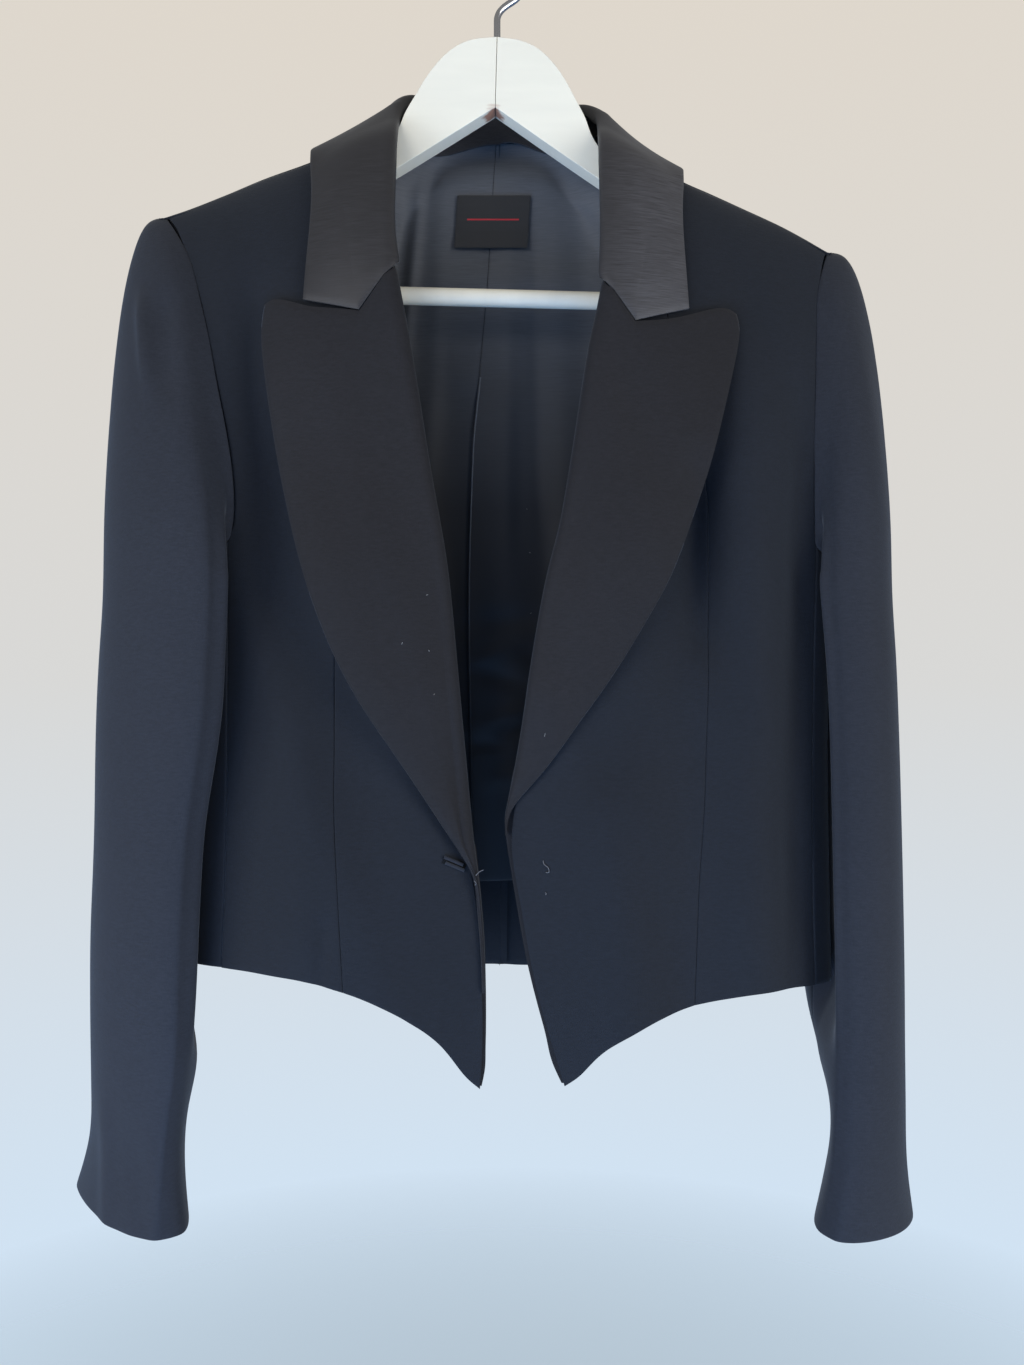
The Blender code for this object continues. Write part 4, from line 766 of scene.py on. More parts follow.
def side_piece(side):
    """The panel round the side, laid out by turn and height."""
    hole = ARMHOLES[side]
    first, last = FRONT_STEPS, FRONT_STEPS + UNDERARM_STEPS
    seam_gap = 0.1
    front_z = np.concatenate([[hole["z"][first]], body_rows(side)[1]])
    front_x = seam_x(SIDE_FRONT, side, front_z)
    inner = [[turn_of(x, z, "f", side) + seam_gap, z] for x, z in zip(front_x, front_z)]
    back_z = side_back_z(side)
    back_x = seam_x(SIDE_BACK, side, back_z)
    outer = [[turn_of(x, z, "b", side) - seam_gap, z] for x, z in zip(back_x, back_z)]
    top = np.stack([hole["turn"][first : last + 1], hole["z"][first : last + 1]], axis=-1)
    top[0] = inner[0]
    top[-1] = outer[0]
    fractions = steps(UNDERARM_STEPS)[:, None]
    bottom = np.array(inner[-1]) + (np.array(outer[-1]) - np.array(inner[-1])) * fractions
    bottom[1:-1, 1] += (HEM_Z[side] - bottom[1:-1, 1]) * 0.5
    flat = closer(panel(inner, outer, top, bottom), 6, 6)

    def form(turn, z):
        return round_body(turn, z, side)

    return form(flat[..., 0], flat[..., 1]), surface_normals(form, flat[..., 0], flat[..., 1], 0.2, 0.5)


NECK_COLUMNS = 5
BACK_NECK = dict(x=(0, 30, 50, 61, 71), right=(7.1, 6.5, 4.4, 2.4, -1.9), left=(7.1, 6.3, 4.2, 2.2, -1.9))


def back_neck_row(side, x):
    return read(BACK_NECK["x"], BACK_NECK[side], x)


def back_flat(side):
    out = SIDES[side]
    half = SEAM / 2 * out
    hole = ARMHOLES[side]["points"][FRONT_STEPS + UNDERARM_STEPS :][::-1]
    seam_z = side_back_z(side)[1:]
    x = np.concatenate([hole[:, 0], seam_x(SIDE_BACK, side, seam_z) - half])
    z = np.concatenate([hole[:, 2], seam_z])
    outer = np.stack([x, row_of(np.maximum(crest(x) - z, 0.0))], axis=-1)
    outer[0, 1] = -HALF_SEAM_ROW
    fractions = (outer[:, 1] - outer[0, 1]) / (outer[-1, 1] - outer[0, 1])
    centre = CENTRE_BACK_X + half
    start = BACK_NECK[side][0]
    end = float(row_of(crest(centre) - float(back_hem_z(centre))))
    inner = np.stack([np.full(len(outer), centre), start + (end - start) * fractions], axis=-1)
    neck_x = np.linspace(abs(centre), BACK_NECK["x"][-1], NECK_COLUMNS + 1)
    shoulder_x = np.linspace(abs(princess_edge(side, half)[0, 0]), abs(outer[0, 0]), SIDE_FRONT_COLUMNS + 1)
    neck = np.stack([out * neck_x, back_neck_row(side, neck_x)], axis=-1)
    shoulder = np.stack([out * shoulder_x, -shoulder_row(shoulder_x) + HALF_SEAM_ROW], axis=-1)
    top = np.concatenate([neck, shoulder])
    top[0], top[-1] = inner[0], outer[0]
    bottom = edge_between(inner[-1], outer[-1], len(top) - 1, back_hem_z)
    return panel(inner, outer, top, bottom)


for side in SIDES:
    grid, normals = side_piece(side)
    behind = [("left", ALLOWANCE), ("right", ALLOWANCE)]
    piece = sewn(f"side_{side}_cloth", grid, CLOTH, INSIDE_BODY, normals, allowances=behind)
    hang(piece, f"side_{side}", BODY_CREPE)
    grid, normals = on_face(closer(back_flat(side), 6, 6), "back")
    neck = np.linspace(0, 1, grid.shape[1]) < (NECK_COLUMNS + 1) / (NECK_COLUMNS + SIDE_FRONT_COLUMNS + 1)
    behind = [("top", np.where(neck, TRIMMED, ALLOWANCE)), ("right", NARROW)]
    if side == "right":
        down = np.linspace(0, 1, grid.shape[0] + len(ALLOWANCE_TURN))
        behind.append(("left", np.where((down < CENTRE_SEAM[0]) | (down > CENTRE_SEAM[1]), TRIMMED, ALLOWANCE)))
    piece = sewn(f"back_{side}_cloth", grid, CLOTH, INSIDE_BODY, normals, allowances=behind)
    hang(piece, f"back_{side}", BODY_CREPE)

# --- Lapels ---------------------------------------------------------------------
# Wide peak lapels, two layers of the crepe round a light canvas, rolled from the
# break point and sewn to the collar along the gorge. Their outer edges are pressed
# and stand a little off the fronts; below the break they run out into the edge.

LAPEL_CLOTH = 2.2      # two layers, pressed
LAPEL_TAIL_CLOTH = 0.8 # and in the narrow tail, where they run out into the edge
# Gorge from the roll to the notch, then the top edge to the peak.
LAPEL_TOP = {
    "right": dict(
        x=(-55.6, -65.5, -76.6, -92.2, -107.4, -127.4, -132.5),
        z=(-204.7, -218.8, -232.7, -230.5, -228.2, -223.3, -225.5),
    ),
    "left": dict(
        x=(59, 69, 78, 91.3, 107.8, 131.9, 137.3),
        z=(-213, -227, -238.8, -237.7, -233.7, -228, -231),
    ),
}
LAPEL_OUTER = {
    "right": dict(
        x=(-132.5, -134.2, -131, -124.5, -115.3, -102, -79.7, -53.1, -32, -24.5, -19, -13.9, -11.8, -9.9, -8.6,
           -8.1),
        z=(-225.5, -238, -272.2, -311.7, -350.8, -395.2, -445.2, -486.7, -520, -532, -541, -551, -562, -580, -600,
           -619),
    ),
    "left": dict(
        x=(137.3, 138.6, 136.3, 128.6, 120.4, 110.8, 97.8, 82.7, 66, 46.7, 25.5, 15.0, 8.8, 6.6, 6.0),
        z=(-231, -238, -254.5, -285.9, -317, -347.9, -381.3, -409.1, -436.8, -464.5, -493.9, -506, -514.5, -521, -529),
    ),
}
LAPEL_END_Z = {"right": -619.0, "left": -529.0}
LAPEL_TAPER_Z = {"right": -520.0, "left": -488.0}      # where it starts to narrow to the edge
NOTCH_COLUMN = 27          # column of the lapel at the notch
LAPEL_COLUMNS = 72
LAPEL_ROWS = 170
ROLL_COLUMNS = 18
LAPEL_REACH = 7.0          # the roll ends this far from the front's edge
LAPEL_LIFT = 7.8           # and lies this far off the front there
LAPEL_LOW_LIFT = 2.3       # the same at the low end
LAPEL_EDGE_LIFT = 3.5      # the outer edge lies this far off the front
LAPEL_TAIL_LIFT = 2.0      # and this far at the low end
LAPEL_CROWN = 2.5          # the lapel's middle is this much fuller
TAIL_REACH = 0.7           # the roll's reach in the tail
GORGE_GAP = 0.4
# How much more the outer edge stands off, at which height and over what spread.
LAPEL_STANDS_OFF = dict(right=(7.0, -420.0, 115.0), left=(9.0, -350.0, 75.0))


def bezier(first, second, third, fourth, count):
    """Points from first to fourth, drawn towards the two between; also for rows of points."""
    t = steps(count).reshape(-1, *[1] * np.ndim(fourth))
    return (
        first * (1 - t) ** 3 + 3 * second * t * (1 - t) ** 2 + 3 * third * t * t * (1 - t) + fourth * t**3
    )


def curve_along(points, fractions):
    """Points at fractions of the way along a curve that bends evenly through all of them."""
    points = np.asarray(points, float)
    way = way_along(points, 0.7)
    fine = curve_weights(way, np.linspace(0, way[-1], 60 * len(way))) @ points
    length = way_along(fine)
    spots = np.asarray(fractions, float) * length[-1]
    return np.stack([np.interp(spots, length, column) for column in fine.T], axis=-1)


def lapel_grid(side):
    """The roll, from behind the front's edge, then the lapel lying on the front."""
    out = SIDES[side]
    edge = FRONT_EDGE[side]
    top_points = np.stack([LAPEL_TOP[side]["x"], LAPEL_TOP[side]["z"]], axis=-1)
    corner, notch = top_points[0], top_points[2]
    down = steps(LAPEL_ROWS)
    start_z = corner[1] - 0.8
    roll_z = start_z + (LAPEL_END_Z[side] - start_z) * down
    narrow = ease((LAPEL_TAPER_Z[side] - roll_z) / (LAPEL_TAPER_Z[side] - LAPEL_END_Z[side]) * 1.5)
    edge_x = at_height(edge, "x", roll_z)
    inset = at_height(edge, "inset", roll_z) * (1 - 0.4 * narrow)
    outer = curve_along(np.stack([LAPEL_OUTER[side]["x"], LAPEL_OUTER[side]["z"]], axis=-1), down)
    width = np.abs(np.interp(-roll_z, -outer[:, 1], outer[:, 0]) - edge_x)
    reach = np.minimum(LAPEL_REACH * (1 - narrow) + TAIL_REACH * narrow, 0.5 * width)
    share = LAPEL_REACH / abs(notch[0] - corner[0])
    laid_z = roll_z + (share * (notch[1] - corner[1]) - 0.2) * (1 - down) ** 3
    inner = np.stack([edge_x + out * reach, laid_z], axis=-1)
    inner[0] = corner + share * (notch - corner) - (0.0, GORGE_GAP)
    gorge = edge_between(inner[0], notch - (0.0, GORGE_GAP), NOTCH_COLUMN)
    upper = curve_along(np.vstack([gorge[-1], top_points[3:]]), steps(LAPEL_COLUMNS - NOTCH_COLUMN))
    top = np.vstack([gorge[:-1], upper])
    top[-1] = outer[0]
    bottom = edge_between(inner[-1], outer[-1], LAPEL_COLUMNS)
    flat = panel(inner, outer, top, bottom)
    across = steps(LAPEL_COLUMNS)[None, :]
    lift = LAPEL_LIFT - (LAPEL_LIFT - LAPEL_LOW_LIFT) * np.maximum(narrow, 0.25 * ease(down**2))
    most, middle, spread = LAPEL_STANDS_OFF[side]
    stand_off = most * np.exp(-(((roll_z - middle) / spread) ** 2))[:, None]
    low_lift = LAPEL_EDGE_LIFT + stand_off - (LAPEL_EDGE_LIFT - LAPEL_TAIL_LIFT) * narrow[:, None]
    height = low_lift + (lift[:, None] - low_lift) * (1 - across) ** 1.6
    crown = LAPEL_CROWN * np.sin(math.pi * across) * np.sin(math.pi * down[:, None]) ** 0.7
    height = height + crown * (1 - narrow[:, None])
    laid = on_cloth(flat[..., 0], flat[..., 1], "front")
    laid[..., 1] -= height
    rolls = []
    for row in range(LAPEL_ROWS + 1):
        end_x = edge_x[row] + out * max(inset[row] - 1.4, 0.5)
        behind = on_body(end_x, roll_z[row], "front")
        behind[1] += LAPEL_CLOTH
        turn_back, turn_front = behind.copy(), laid[row, 0].copy()
        turn_back[0] = turn_front[0] = edge_x[row] - out * 0.25 * inset[row]
        turn_front[2] = roll_z[row] + 0.25 * (laid[row, 0, 2] - roll_z[row])
        rolls.append(bezier(behind, turn_back, turn_front, laid[row, 0], ROLL_COLUMNS)[:-1])
    return np.concatenate([np.array(rolls), laid], axis=1)


INSIDE_LAPEL = (CENTRE_X, 300.0, -400.0)
LAPEL_CREPE = crepe("lapel_crepe", (0.0118, 0.0111, 0.0129), (0.0200, 0.0190, 0.0219))
for side in SIDES:
    grid = lapel_grid(side)
    wall = LAPEL_CLOTH - (LAPEL_CLOTH - LAPEL_TAIL_CLOTH) * ease((steps(LAPEL_ROWS) - 0.55) / 0.4)
    piece = sewn(f"lapel_{side}_cloth", grid, wall[:, None], INSIDE_LAPEL, turned=0.9)
    hang(piece, f"lapel_{side}", LAPEL_CREPE)

# --- Collar ---------------------------------------------------------------------
# The collar's leaf is faced with a ribbed black satin and folds over a stand of the
# body cloth, which shows only across the back of the neck. Its ends are cut
# square where they meet the lapels in the notch. The leaf is painted lighter towards
# the wearer's left as a painted reflection, and the stand is a lighter copy of the
# crepe as painted light.

LEAF_CLOTH = 2.0
# Collar, from the gorge round to the centre back: fold line and leaf edge.
# drop is below the shoulder line, positive down the front, negative down the back.
COLLAR = {
    "right": dict(
        fold_x=(-55.6, -58.5, -59, -59, -59, -57.5, -53, -32, 0),
        fold_y=(-30, -30, -30, -28, -5, 11, 25, 42, 47),
        fold_z=(-204.7, -185, -160, -134, -103.5, -84.5, -71.5, -68, -65.5),
        edge_x=(-108.5, -107.5, -106.5, -107, -108.5, -110, -106, -66, 0),
        drop=(100, 78, 53, 30, 13, 0, -12, -34, -52),
        roll=(5, 5, 4.8, 4.4, 3.6, 3, 2.8, 2.8, 2.8),
        bow=(0, 3, 3, 3, 2, -1, -1, 2, 2),
        lift=(4.2, 4.2, 4.2, 4.6, 6, 6.5, 8, 7.5, 6),
    ),
    "left": dict(
        fold_x=(59, 60.3, 60.5, 60.5, 61, 60, 53, 32, 0),
        fold_y=(-30, -30, -30, -26, -4, 12, 25, 42, 47),
        fold_z=(-213, -190, -160, -134, -107.5, -89, -77.5, -70.5, -65.5),
        edge_x=(108.5, 107.6, 107, 107.5, 108.5, 109.5, 105, 66, 0),
        drop=(93.5, 72, 49, 28, 12, 0, -12, -34, -52),
        roll=(5, 5, 4.8, 4.4, 3.6, 3, 2.8, 2.8, 2.8),
        bow=(0, 3, 3, 3, 1, -2.5, -2.5, 2, 2),
        lift=(4.2, 4.2, 4.2, 4.6, 6, 6.5, 8, 7.5, 6),
    ),
}
COLLAR_ON_FRONT = 3.0      # up to this station the collar takes its depth from the front
COLLAR_SEAM_INWARD = 12.0
NECK_SEAM = dict(station=(4, 5, 6, 7, 8), x=(72, 63, 50, 28, 0))   # along the back's neckline
STAND_FROM_ROW = 72        # the stand shows only across the back of the neck
LEAF_COLUMNS = 60
LEAF_TO_NOTCH = 30         # columns from the gorge's start to the notch
LEAF_ROLL = 14             # columns round the fold
LEAF_END_LIFTS = (7.8, 5.6, 4.2)    # off the front, from the gorge's start to the leaf's corner
FOLD_TO_LEAF = 8.0         # the leaf lies flat from this far below the fold
FOLD_TO_STAND = 6.0        # and its turned-in side ends this far below it
STAND_TOP = 7.6            # the stand starts this far below the fold
STAND_PAST_SEAM = 7.5      # and goes this far past the neck seam, behind the back
COLLAR_ROWS = 96           # rows from the gorge to the centre back
NECK_CENTRE = (0.0, 0.0, -150.0)


def collar_lines(side):
    """Fold, leaf edge and stand seam from the gorge to the centre back."""
    table = COLLAR[side]
    place = np.linspace(0, len(table["fold_x"]) - 1, COLLAR_ROWS + 1)
    weights = smooth_weights(len(table["fold_x"]), place)
    value = {name: weights @ np.array(table[name], float) for name in table}
    fold = np.stack([value[name] for name in ("fold_x", "fold_y", "fold_z")], axis=-1)
    rising = ease(place - COLLAR_ON_FRONT)
    front = on_body(fold[:, 0], fold[:, 2], "front", folds=False)[:, 1] - 2.8
    fold[:, 1] = front * (1 - rising) + fold[:, 1] * rising
    rows = -row_of(value["drop"])

    def over_back(x, row):
        return over_body(x, row, "back", folds=False)

    edge = over_back(value["edge_x"], rows)
    lift = surface_normals(over_back, value["edge_x"], rows, 0.5, 0.2)
    lift *= np.sign(np.sum(lift * (edge - np.array(INSIDE_BODY)), axis=-1, keepdims=True))
    edge = edge + lift * value["lift"][:, None]
    neck_x = SIDES[side] * read(NECK_SEAM["station"], NECK_SEAM["x"], place)
    neck_row = back_neck_row(side, np.abs(neck_x)) - 0.4
    seam = over_body(neck_x, neck_row, "back")
    inward = np.array([COLLAR_SEAM_INWARD * -SIDES[side], 0.0, 0.0])
    along_front = on_body(fold[:, 0], fold[:, 2], "front") - inward
    seam = along_front * (1 - rising[:, None]) + seam * rising[:, None]
    return fold, edge, seam, value["roll"], value["bow"]


def collar_frame(fold, edge, seam):
    """Directions at the fold: down the leaf, down the stand, their middle and out."""
    leaf = unit(edge - fold)
    stand = unit(seam - fold)
    middle = unit(leaf + stand)
    run = unit(np.gradient(fold, axis=0))
    out = unit(np.cross(run, middle))
    out = out * np.sign(np.sum(out * (fold - np.array(NECK_CENTRE)), axis=-1, keepdims=True) + 1e-9)
    return leaf, stand, middle, out


def gorge_end(side, corner):
    """The leaf's front end: along the gorge to the notch, then to the leaf's corner."""
    table = LAPEL_TOP[side]
    top, notch = (np.array([table["x"][spot], table["z"][spot]]) for spot in (0, 2))
    share = LAPEL_REACH / abs(notch[0] - top[0])
    first = top + share * (notch - top)
    to_notch = edge_between(first, notch, LEAF_TO_NOTCH)
    to_corner = edge_between(notch, corner[[0, 2]], LEAF_COLUMNS - LEAF_TO_NOTCH)
    flat = np.vstack([to_notch, to_corner[1:]])
    lift = np.interp(steps(LEAF_COLUMNS), (0, 0.5, 1), LEAF_END_LIFTS)
    points = on_body(flat[:, 0], flat[:, 1], "front", folds=False)
    points[:, 1] -= lift
    return points


def leaf_half(side):
    fold, edge, seam, roll, bow = collar_lines(side)
    leaf, stand, middle, out = collar_frame(fold, edge, seam)
    across = steps(LEAF_COLUMNS)
    end_row = gorge_end(side, edge[0])
    rows = []
    plain_end = None
    for row in range(len(fold)):
        aside = out[row] * roll[row]
        start = fold[row] + leaf[row] * FOLD_TO_LEAF + aside
        laid = start + (edge[row] - start) * across[:, None]
        laid += out[row] * bow[row] * np.sin(math.pi * across)[:, None]
        if row == 0:
            plain_end = laid.copy()
        laid += (end_row - plain_end) * (1 - ease(3.0 * row / COLLAR_ROWS))
        behind = fold[row] + stand[row] * FOLD_TO_STAND - aside
        over = fold[row] - middle[row] * 0.9 * roll[row]
        rows.append(np.concatenate([bezier(behind, over - aside, over + aside, laid[0], LEAF_ROLL)[:-1], laid]))
    return np.array(rows)


def stand_half(side):
    """The stand, from just below the fold to the neckline, round the back of the neck."""
    fold, edge, seam, roll = collar_lines(side)[:4]
    stand, out = collar_frame(fold, edge, seam)[1::2]
    top = fold + stand * STAND_TOP - out * (roll[:, None] - LEAF_CLOTH + 0.2)
    across = steps(12)[None, :, None]
    seam = seam + unit(seam - top) * STAND_PAST_SEAM
    return (top[:, None] * (1 - across) + seam[:, None] * across)[STAND_FROM_ROW:]


def joined(right, left):
    """One grid from the wearer's right gorge, round the neck, to the left one."""
    middle = (right[-1:] + left[-1:]) / 2
    return np.concatenate([right[:-1], middle, left[-2::-1]])


SATIN_SLUB, SATIN_THREAD, SATIN_CLOUD = (70, 70, 2300), (160, 160, 5200), (16, 16, 9)
# By the direction along which a satin's painted sheen runs: range of its threads' tones, and their relief.
SATIN_TONES = {"X": (0.50, 1.0), "Z": (-0.3, 1.8)}
SATIN_DEPTH = {"X": 0.00007, "Z": 0.00002}


def satin(name, dark, light, gloss, painted_sheen, reach):
    """Black satin with fine level slubs, painted from its light tone to a lighter painted sheen along its reach."""
    kit = nodes_of(name, light, gloss)
    way = reach[0]
    slub = kit.noise(SATIN_SLUB, 3.0, 0.55)
    thread = kit.noise(SATIN_THREAD, 1.0)
    cloud = kit.noise(SATIN_CLOUD)
    lines = kit.plus(slub, thread, 0.5)
    shine = kit.between(lines, *SATIN_TONES[way])
    split = kit.add("SeparateXYZ", {0: kit.place})
    # Painted sheen: along the reach the threads' tones are painted lighter, standing in for light on the satin.
    sheen_share = kit.between(split.outputs[way], *reach[1:])
    tone = kit.blend(sheen_share, kit.blend(shine, dark, light), kit.blend(shine, light, painted_sheen))
    kit.lead(kit.blend(kit.between(cloud, 0.35, 0.65, 0.0, 0.25), tone, dark), "Base Color")
    kit.lead(kit.between(slub, *MIDDLE, gloss - 0.04, gloss + 0.05), "Roughness")
    kit.raised(lines, SATIN_DEPTH[way], 0.4)
    nap(kit, 0.12, 0.35, 0.42)
    return kit.surface


# Painted reflection: the leaf's satin is painted lighter towards the wearer's left, fully so from 82 mm across.
COLLAR_SATIN = satin(
    "collar_satin", (0.019, 0.018, 0.019), (0.033, 0.031, 0.0335), 0.50, (0.088, 0.086, 0.093), ("X", 0.052, 0.082)
)
leaf = joined(leaf_half("right"), leaf_half("left"))
piece = sewn("collar_leaf_satin", leaf, LEAF_CLOTH, NECK_CENTRE, turned=0.55)
hang(piece, "collar_leaf", COLLAR_SATIN)
ABOVE_COLLAR = (0.0, 0.0, -20.0)
stand = joined(stand_half("right"), stand_half("left"))
piece = sewn("collar_stand_cloth", stand, CLOTH, ABOVE_COLLAR)
# Painted light: a much lighter copy of the crepe for the stand, which lies in shade under the hanger.
PAINTED_LIGHT_STAND_CREPE = crepe("stand_crepe_painted_light", (0.040, 0.039, 0.043), (0.066, 0.064, 0.071))
hang(piece, "collar_stand", PAINTED_LIGHT_STAND_CREPE)

# --- Sleeves --------------------------------------------------------------------
# Two-piece sleeves of the crepe: an upper and an under sleeve, joined by a seam at
# the front and one at the back, and set into the armholes with the head raised a
# little. They hang just clear of the body. The upper sleeves are painted in a
# lighter, bluer copy of the crepe as painted light, the under sleeves in the darker
# body copy as painted shade.

SLEEVE_CLOTH = 1.4
SLEEVE = {
    "right": dict(
        z=(-758, -735, -700, -645, -600, -534, -450, -372),
        inner_x=(-179.5, -183, -181.6, -174.4, -171.6, -167, -154, -150.5),
        inner_y=(-26, -25, -25, -28, -31, -35, -42, -45),
        front_x=(-199, -196, -191, -184, -183, -178, -166, -162),
        front_y=(-39, -38, -39, -43, -46, -50, -57, -58),
        outer_x=(-266, -257.5, -252.5, -250, -248, -243.5, -239.8, -234.5),
        outer_y=(27, 23, 18, 12, 8, 4, 0, 0),
        rear_x=(-250, -243, -236, -229, -226, -222, -215, -212),
        rear_y=(40, 39, 38, 37, 36, 36, 36, 38),
        front_full=(1.25, 1.3, 1.45, 1.6, 1.65, 1.75, 1.8, 1.9),
        rear_full=(1.7, 1.7, 1.8, 1.8, 1.8, 1.8, 1.8, 1.8),
    ),
    "left": dict(
        z=(-758, -730, -690, -630, -540, -450, -372),
        inner_x=(185.5, 190.5, 193, 193.5, 192, 189.5, 184.5),
        inner_y=(-22, -27, -30, -32, -32, -32, -31),
        front_x=(200, 203, 208, 211, 211, 209, 204),
        front_y=(-41, -42, -43, -45, -46, -46, -44),
        outer_x=(250, 246.5, 245.5, 245, 243, 239.5, 235),
        outer_y=(1, 4, 8, 12, 12, 8, 4),
        rear_x=(238, 236, 232, 226, 223, 220, 216),
        rear_y=(45, 50, 62, 80, 85, 80, 66),
        front_full=(1.9, 1.95, 2, 2, 2, 2, 2),
        rear_full=(1.4, 1.3, 1.2, 2.8, 3, 2.8, 2.4),
    ),
}
CLEAR_OF_BODY = 5.0        # space between a hanging sleeve and the body
SLEEVE_BED = 3.2           # the sleeve's inner side lies flatter than the body's side
HEAD_ROWS = 7
TUBE_ROWS = 11
HEAD_LIFT = 30.0           # how strongly the head springs out over the shoulder
UNDERARM_LIFT = 7.0        # and at the underarm
SLEEVE_TO_SEAM = 0.35      # the head's edge is drawn this much nearer to the armhole
SLEEVE_END_TURN = 0.22     # how far the sleeve's edges fall away


def sleeve_section(side, z, place):
    """A point of a level section; place is 0 inner, 1 front, 2 outer, 3 rear, 4 inner."""
    table = SLEEVE[side]
    z, place = np.broadcast_arrays(np.asarray(z, float), np.asarray(place, float) % 4)
    value = {name: at_height(table, name, z) for name in table if name != "z"}
    corners = ("inner", "front", "outer", "rear")
    x = np.zeros(z.shape)
    y = np.zeros(z.shape)
    for number, start in enumerate(corners):
        end = corners[(number + 1) % 4]
        here = (place >= number) & (place < number + 1)
        angle = (place - number) * math.pi / 2
        full = value["front_full"] if number == 1 else value["rear_full"] if number == 3 else 2.0
        ahead, aside = np.abs(np.cos(angle)), np.abs(np.sin(angle))
        size = (ahead**full + aside**full) ** (1 / full)
        along_start, along_end = ahead / size, aside / size
        if number % 2 == 0:      # leaves along Y, arrives along X
            centre_x, centre_y = value[end + "_x"], value[start + "_y"]
        else:                    # leaves along X, arrives along Y
            centre_x, centre_y = value[start + "_x"], value[end + "_y"]
        to_start = (value[start + "_x"] - centre_x, value[start + "_y"] - centre_y)
        to_end = (value[end + "_x"] - centre_x, value[end + "_y"] - centre_y)
        x = np.where(here, centre_x + to_start[0] * along_start + to_end[0] * along_end, x)
        y = np.where(here, centre_y + to_start[1] * along_start + to_end[1] * along_end, y)
    return np.stack([x, y, z], axis=-1)


def held_off_body(points, side):
    """Move sleeve points out of the body's side, to hang just clear of it."""
    out = SIDES[side]
    z = points[..., 2]
    below = ease((HEM_Z[side] - 6 - z) / 60)
    reach = half_width(np.full(points.shape[:-1], CENTRE_X + out), z) + CLEAR_OF_BODY - 30 * below
    depth = np.where(points[..., 1] < 0, at_height(BODY, "front", z), at_height(BODY, "back", z)) + CLEAR_OF_BODY
    across = np.clip(np.abs(points[..., 1]) / depth, 0, 1)
    surface = CENTRE_X + out * reach * (1 - across**SLEEVE_BED) ** (1 / SLEEVE_BED)
    moved = points.copy()
    moved[..., 0] = np.where(out * (surface - points[..., 0]) > 0, surface, points[..., 0])
    return moved


# Where the armhole's rows meet the sleeve's sections, from outer round the front.
HOLE_PLACE = dict(
    row=(0, 5, 8, 10, 11.5, 14, 17),
    place=(2, 1, 0, -0.35, -0.7, -1.1, -2),
)


def sleeve_grid(side):
    """The whole sleeve from the armhole to the cuff, opened along its outer line."""
    out = SIDES[side]
    hole = ARMHOLES[side]["points"]
    places = read(HOLE_PLACE["row"], HOLE_PLACE["place"], ARMHOLES[side]["place"])
    top_z, low_z = hole[:, 2].max(), hole[:, 2].min()
    height = (hole[:, 2] - low_z) / (top_z - low_z)
    spring = np.stack(
        [
            np.full(len(hole), float(out)),
            np.clip(hole[:, 1] / 32.0, -1, 1) * 0.75,
            -0.55 + 0.9 * ease(height * 1.05),
        ],
        axis=-1,
    )
    spring = unit(spring)
    start = hole + spring * 0.2
    ring = held_off_body(sleeve_section(side, np.full(len(hole), UNDERARM_Z), places), side)
    reach = (UNDERARM_LIFT + (HEAD_LIFT - UNDERARM_LIFT) * ease(height))[:, None]
    rise = 0.45 * (hole[:, 2] - UNDERARM_Z)[:, None] * np.array([0.0, 0.0, 1.0])
    head = bezier(start, start + spring * reach, ring + rise, ring, HEAD_ROWS)
    cuff_z = min(SLEEVE[side]["z"])
    levels = UNDERARM_Z + (cuff_z - UNDERARM_Z) * steps(TUBE_ROWS)[1:]
    tube = held_off_body(sleeve_section(side, levels[:, None], places[None, :]), side)
    return np.concatenate([head, tube])


# Painted light: a lighter, bluer copy of the crepe, for the light the sleeves catch from the sides and from below.
PAINTED_LIGHT_SLEEVE_CREPE = crepe("sleeve_crepe_painted_light", (0.0160, 0.0184, 0.0255), (0.0270, 0.0305, 0.0415))
ROUND_SLEEVE = 3           # columns read past the opening, so that curves run on
BESIDE = 0.05              # columns to each side of an edge, for its direction


def sleeve_part(whole, first, last):
    """Some columns of a sleeve, read along smooth curves that go all the way round."""
    ring = whole[:, :-1]
    around = np.concatenate([ring[:, -ROUND_SLEEVE:], ring, ring, ring[:, :ROUND_SLEEVE]], axis=1)
    places = places_along(last - first + 1, 7) + first + ROUND_SLEEVE
    rows = smooth_weights(whole.shape[0], places_along(whole.shape[0], 8))
    columns = smooth_weights(around.shape[1], places)
    grid = np.einsum("ri,ijk,cj->rck", rows, around, columns)
    wider = np.concatenate([[places[0] - BESIDE], places, [places[-1] + BESIDE]])
    beside = np.einsum("ri,ijk,cj->rck", rows, around, smooth_weights(around.shape[1], wider))
    down = np.gradient(beside, axis=0)
    across = beside[:, 2:] - beside[:, :-2]
    return grid, unit(np.cross(down[:, 1:-1], across))


# Soft ridges and hollows of the right upper sleeve: below its head and at its cuff.
SLEEVE_FOLDS = dict(
    x_top=(-209, -194, -232, -206),
    x_low=(-195, -183, -227, -200),
    z_top=(-205, -205, -672, -690),
    z_low=(-285, -290, -790, -790),
    width=(4.2, 8, 7, 9),
    height=(3.0, -3.2, 2.2, -1.6),
)


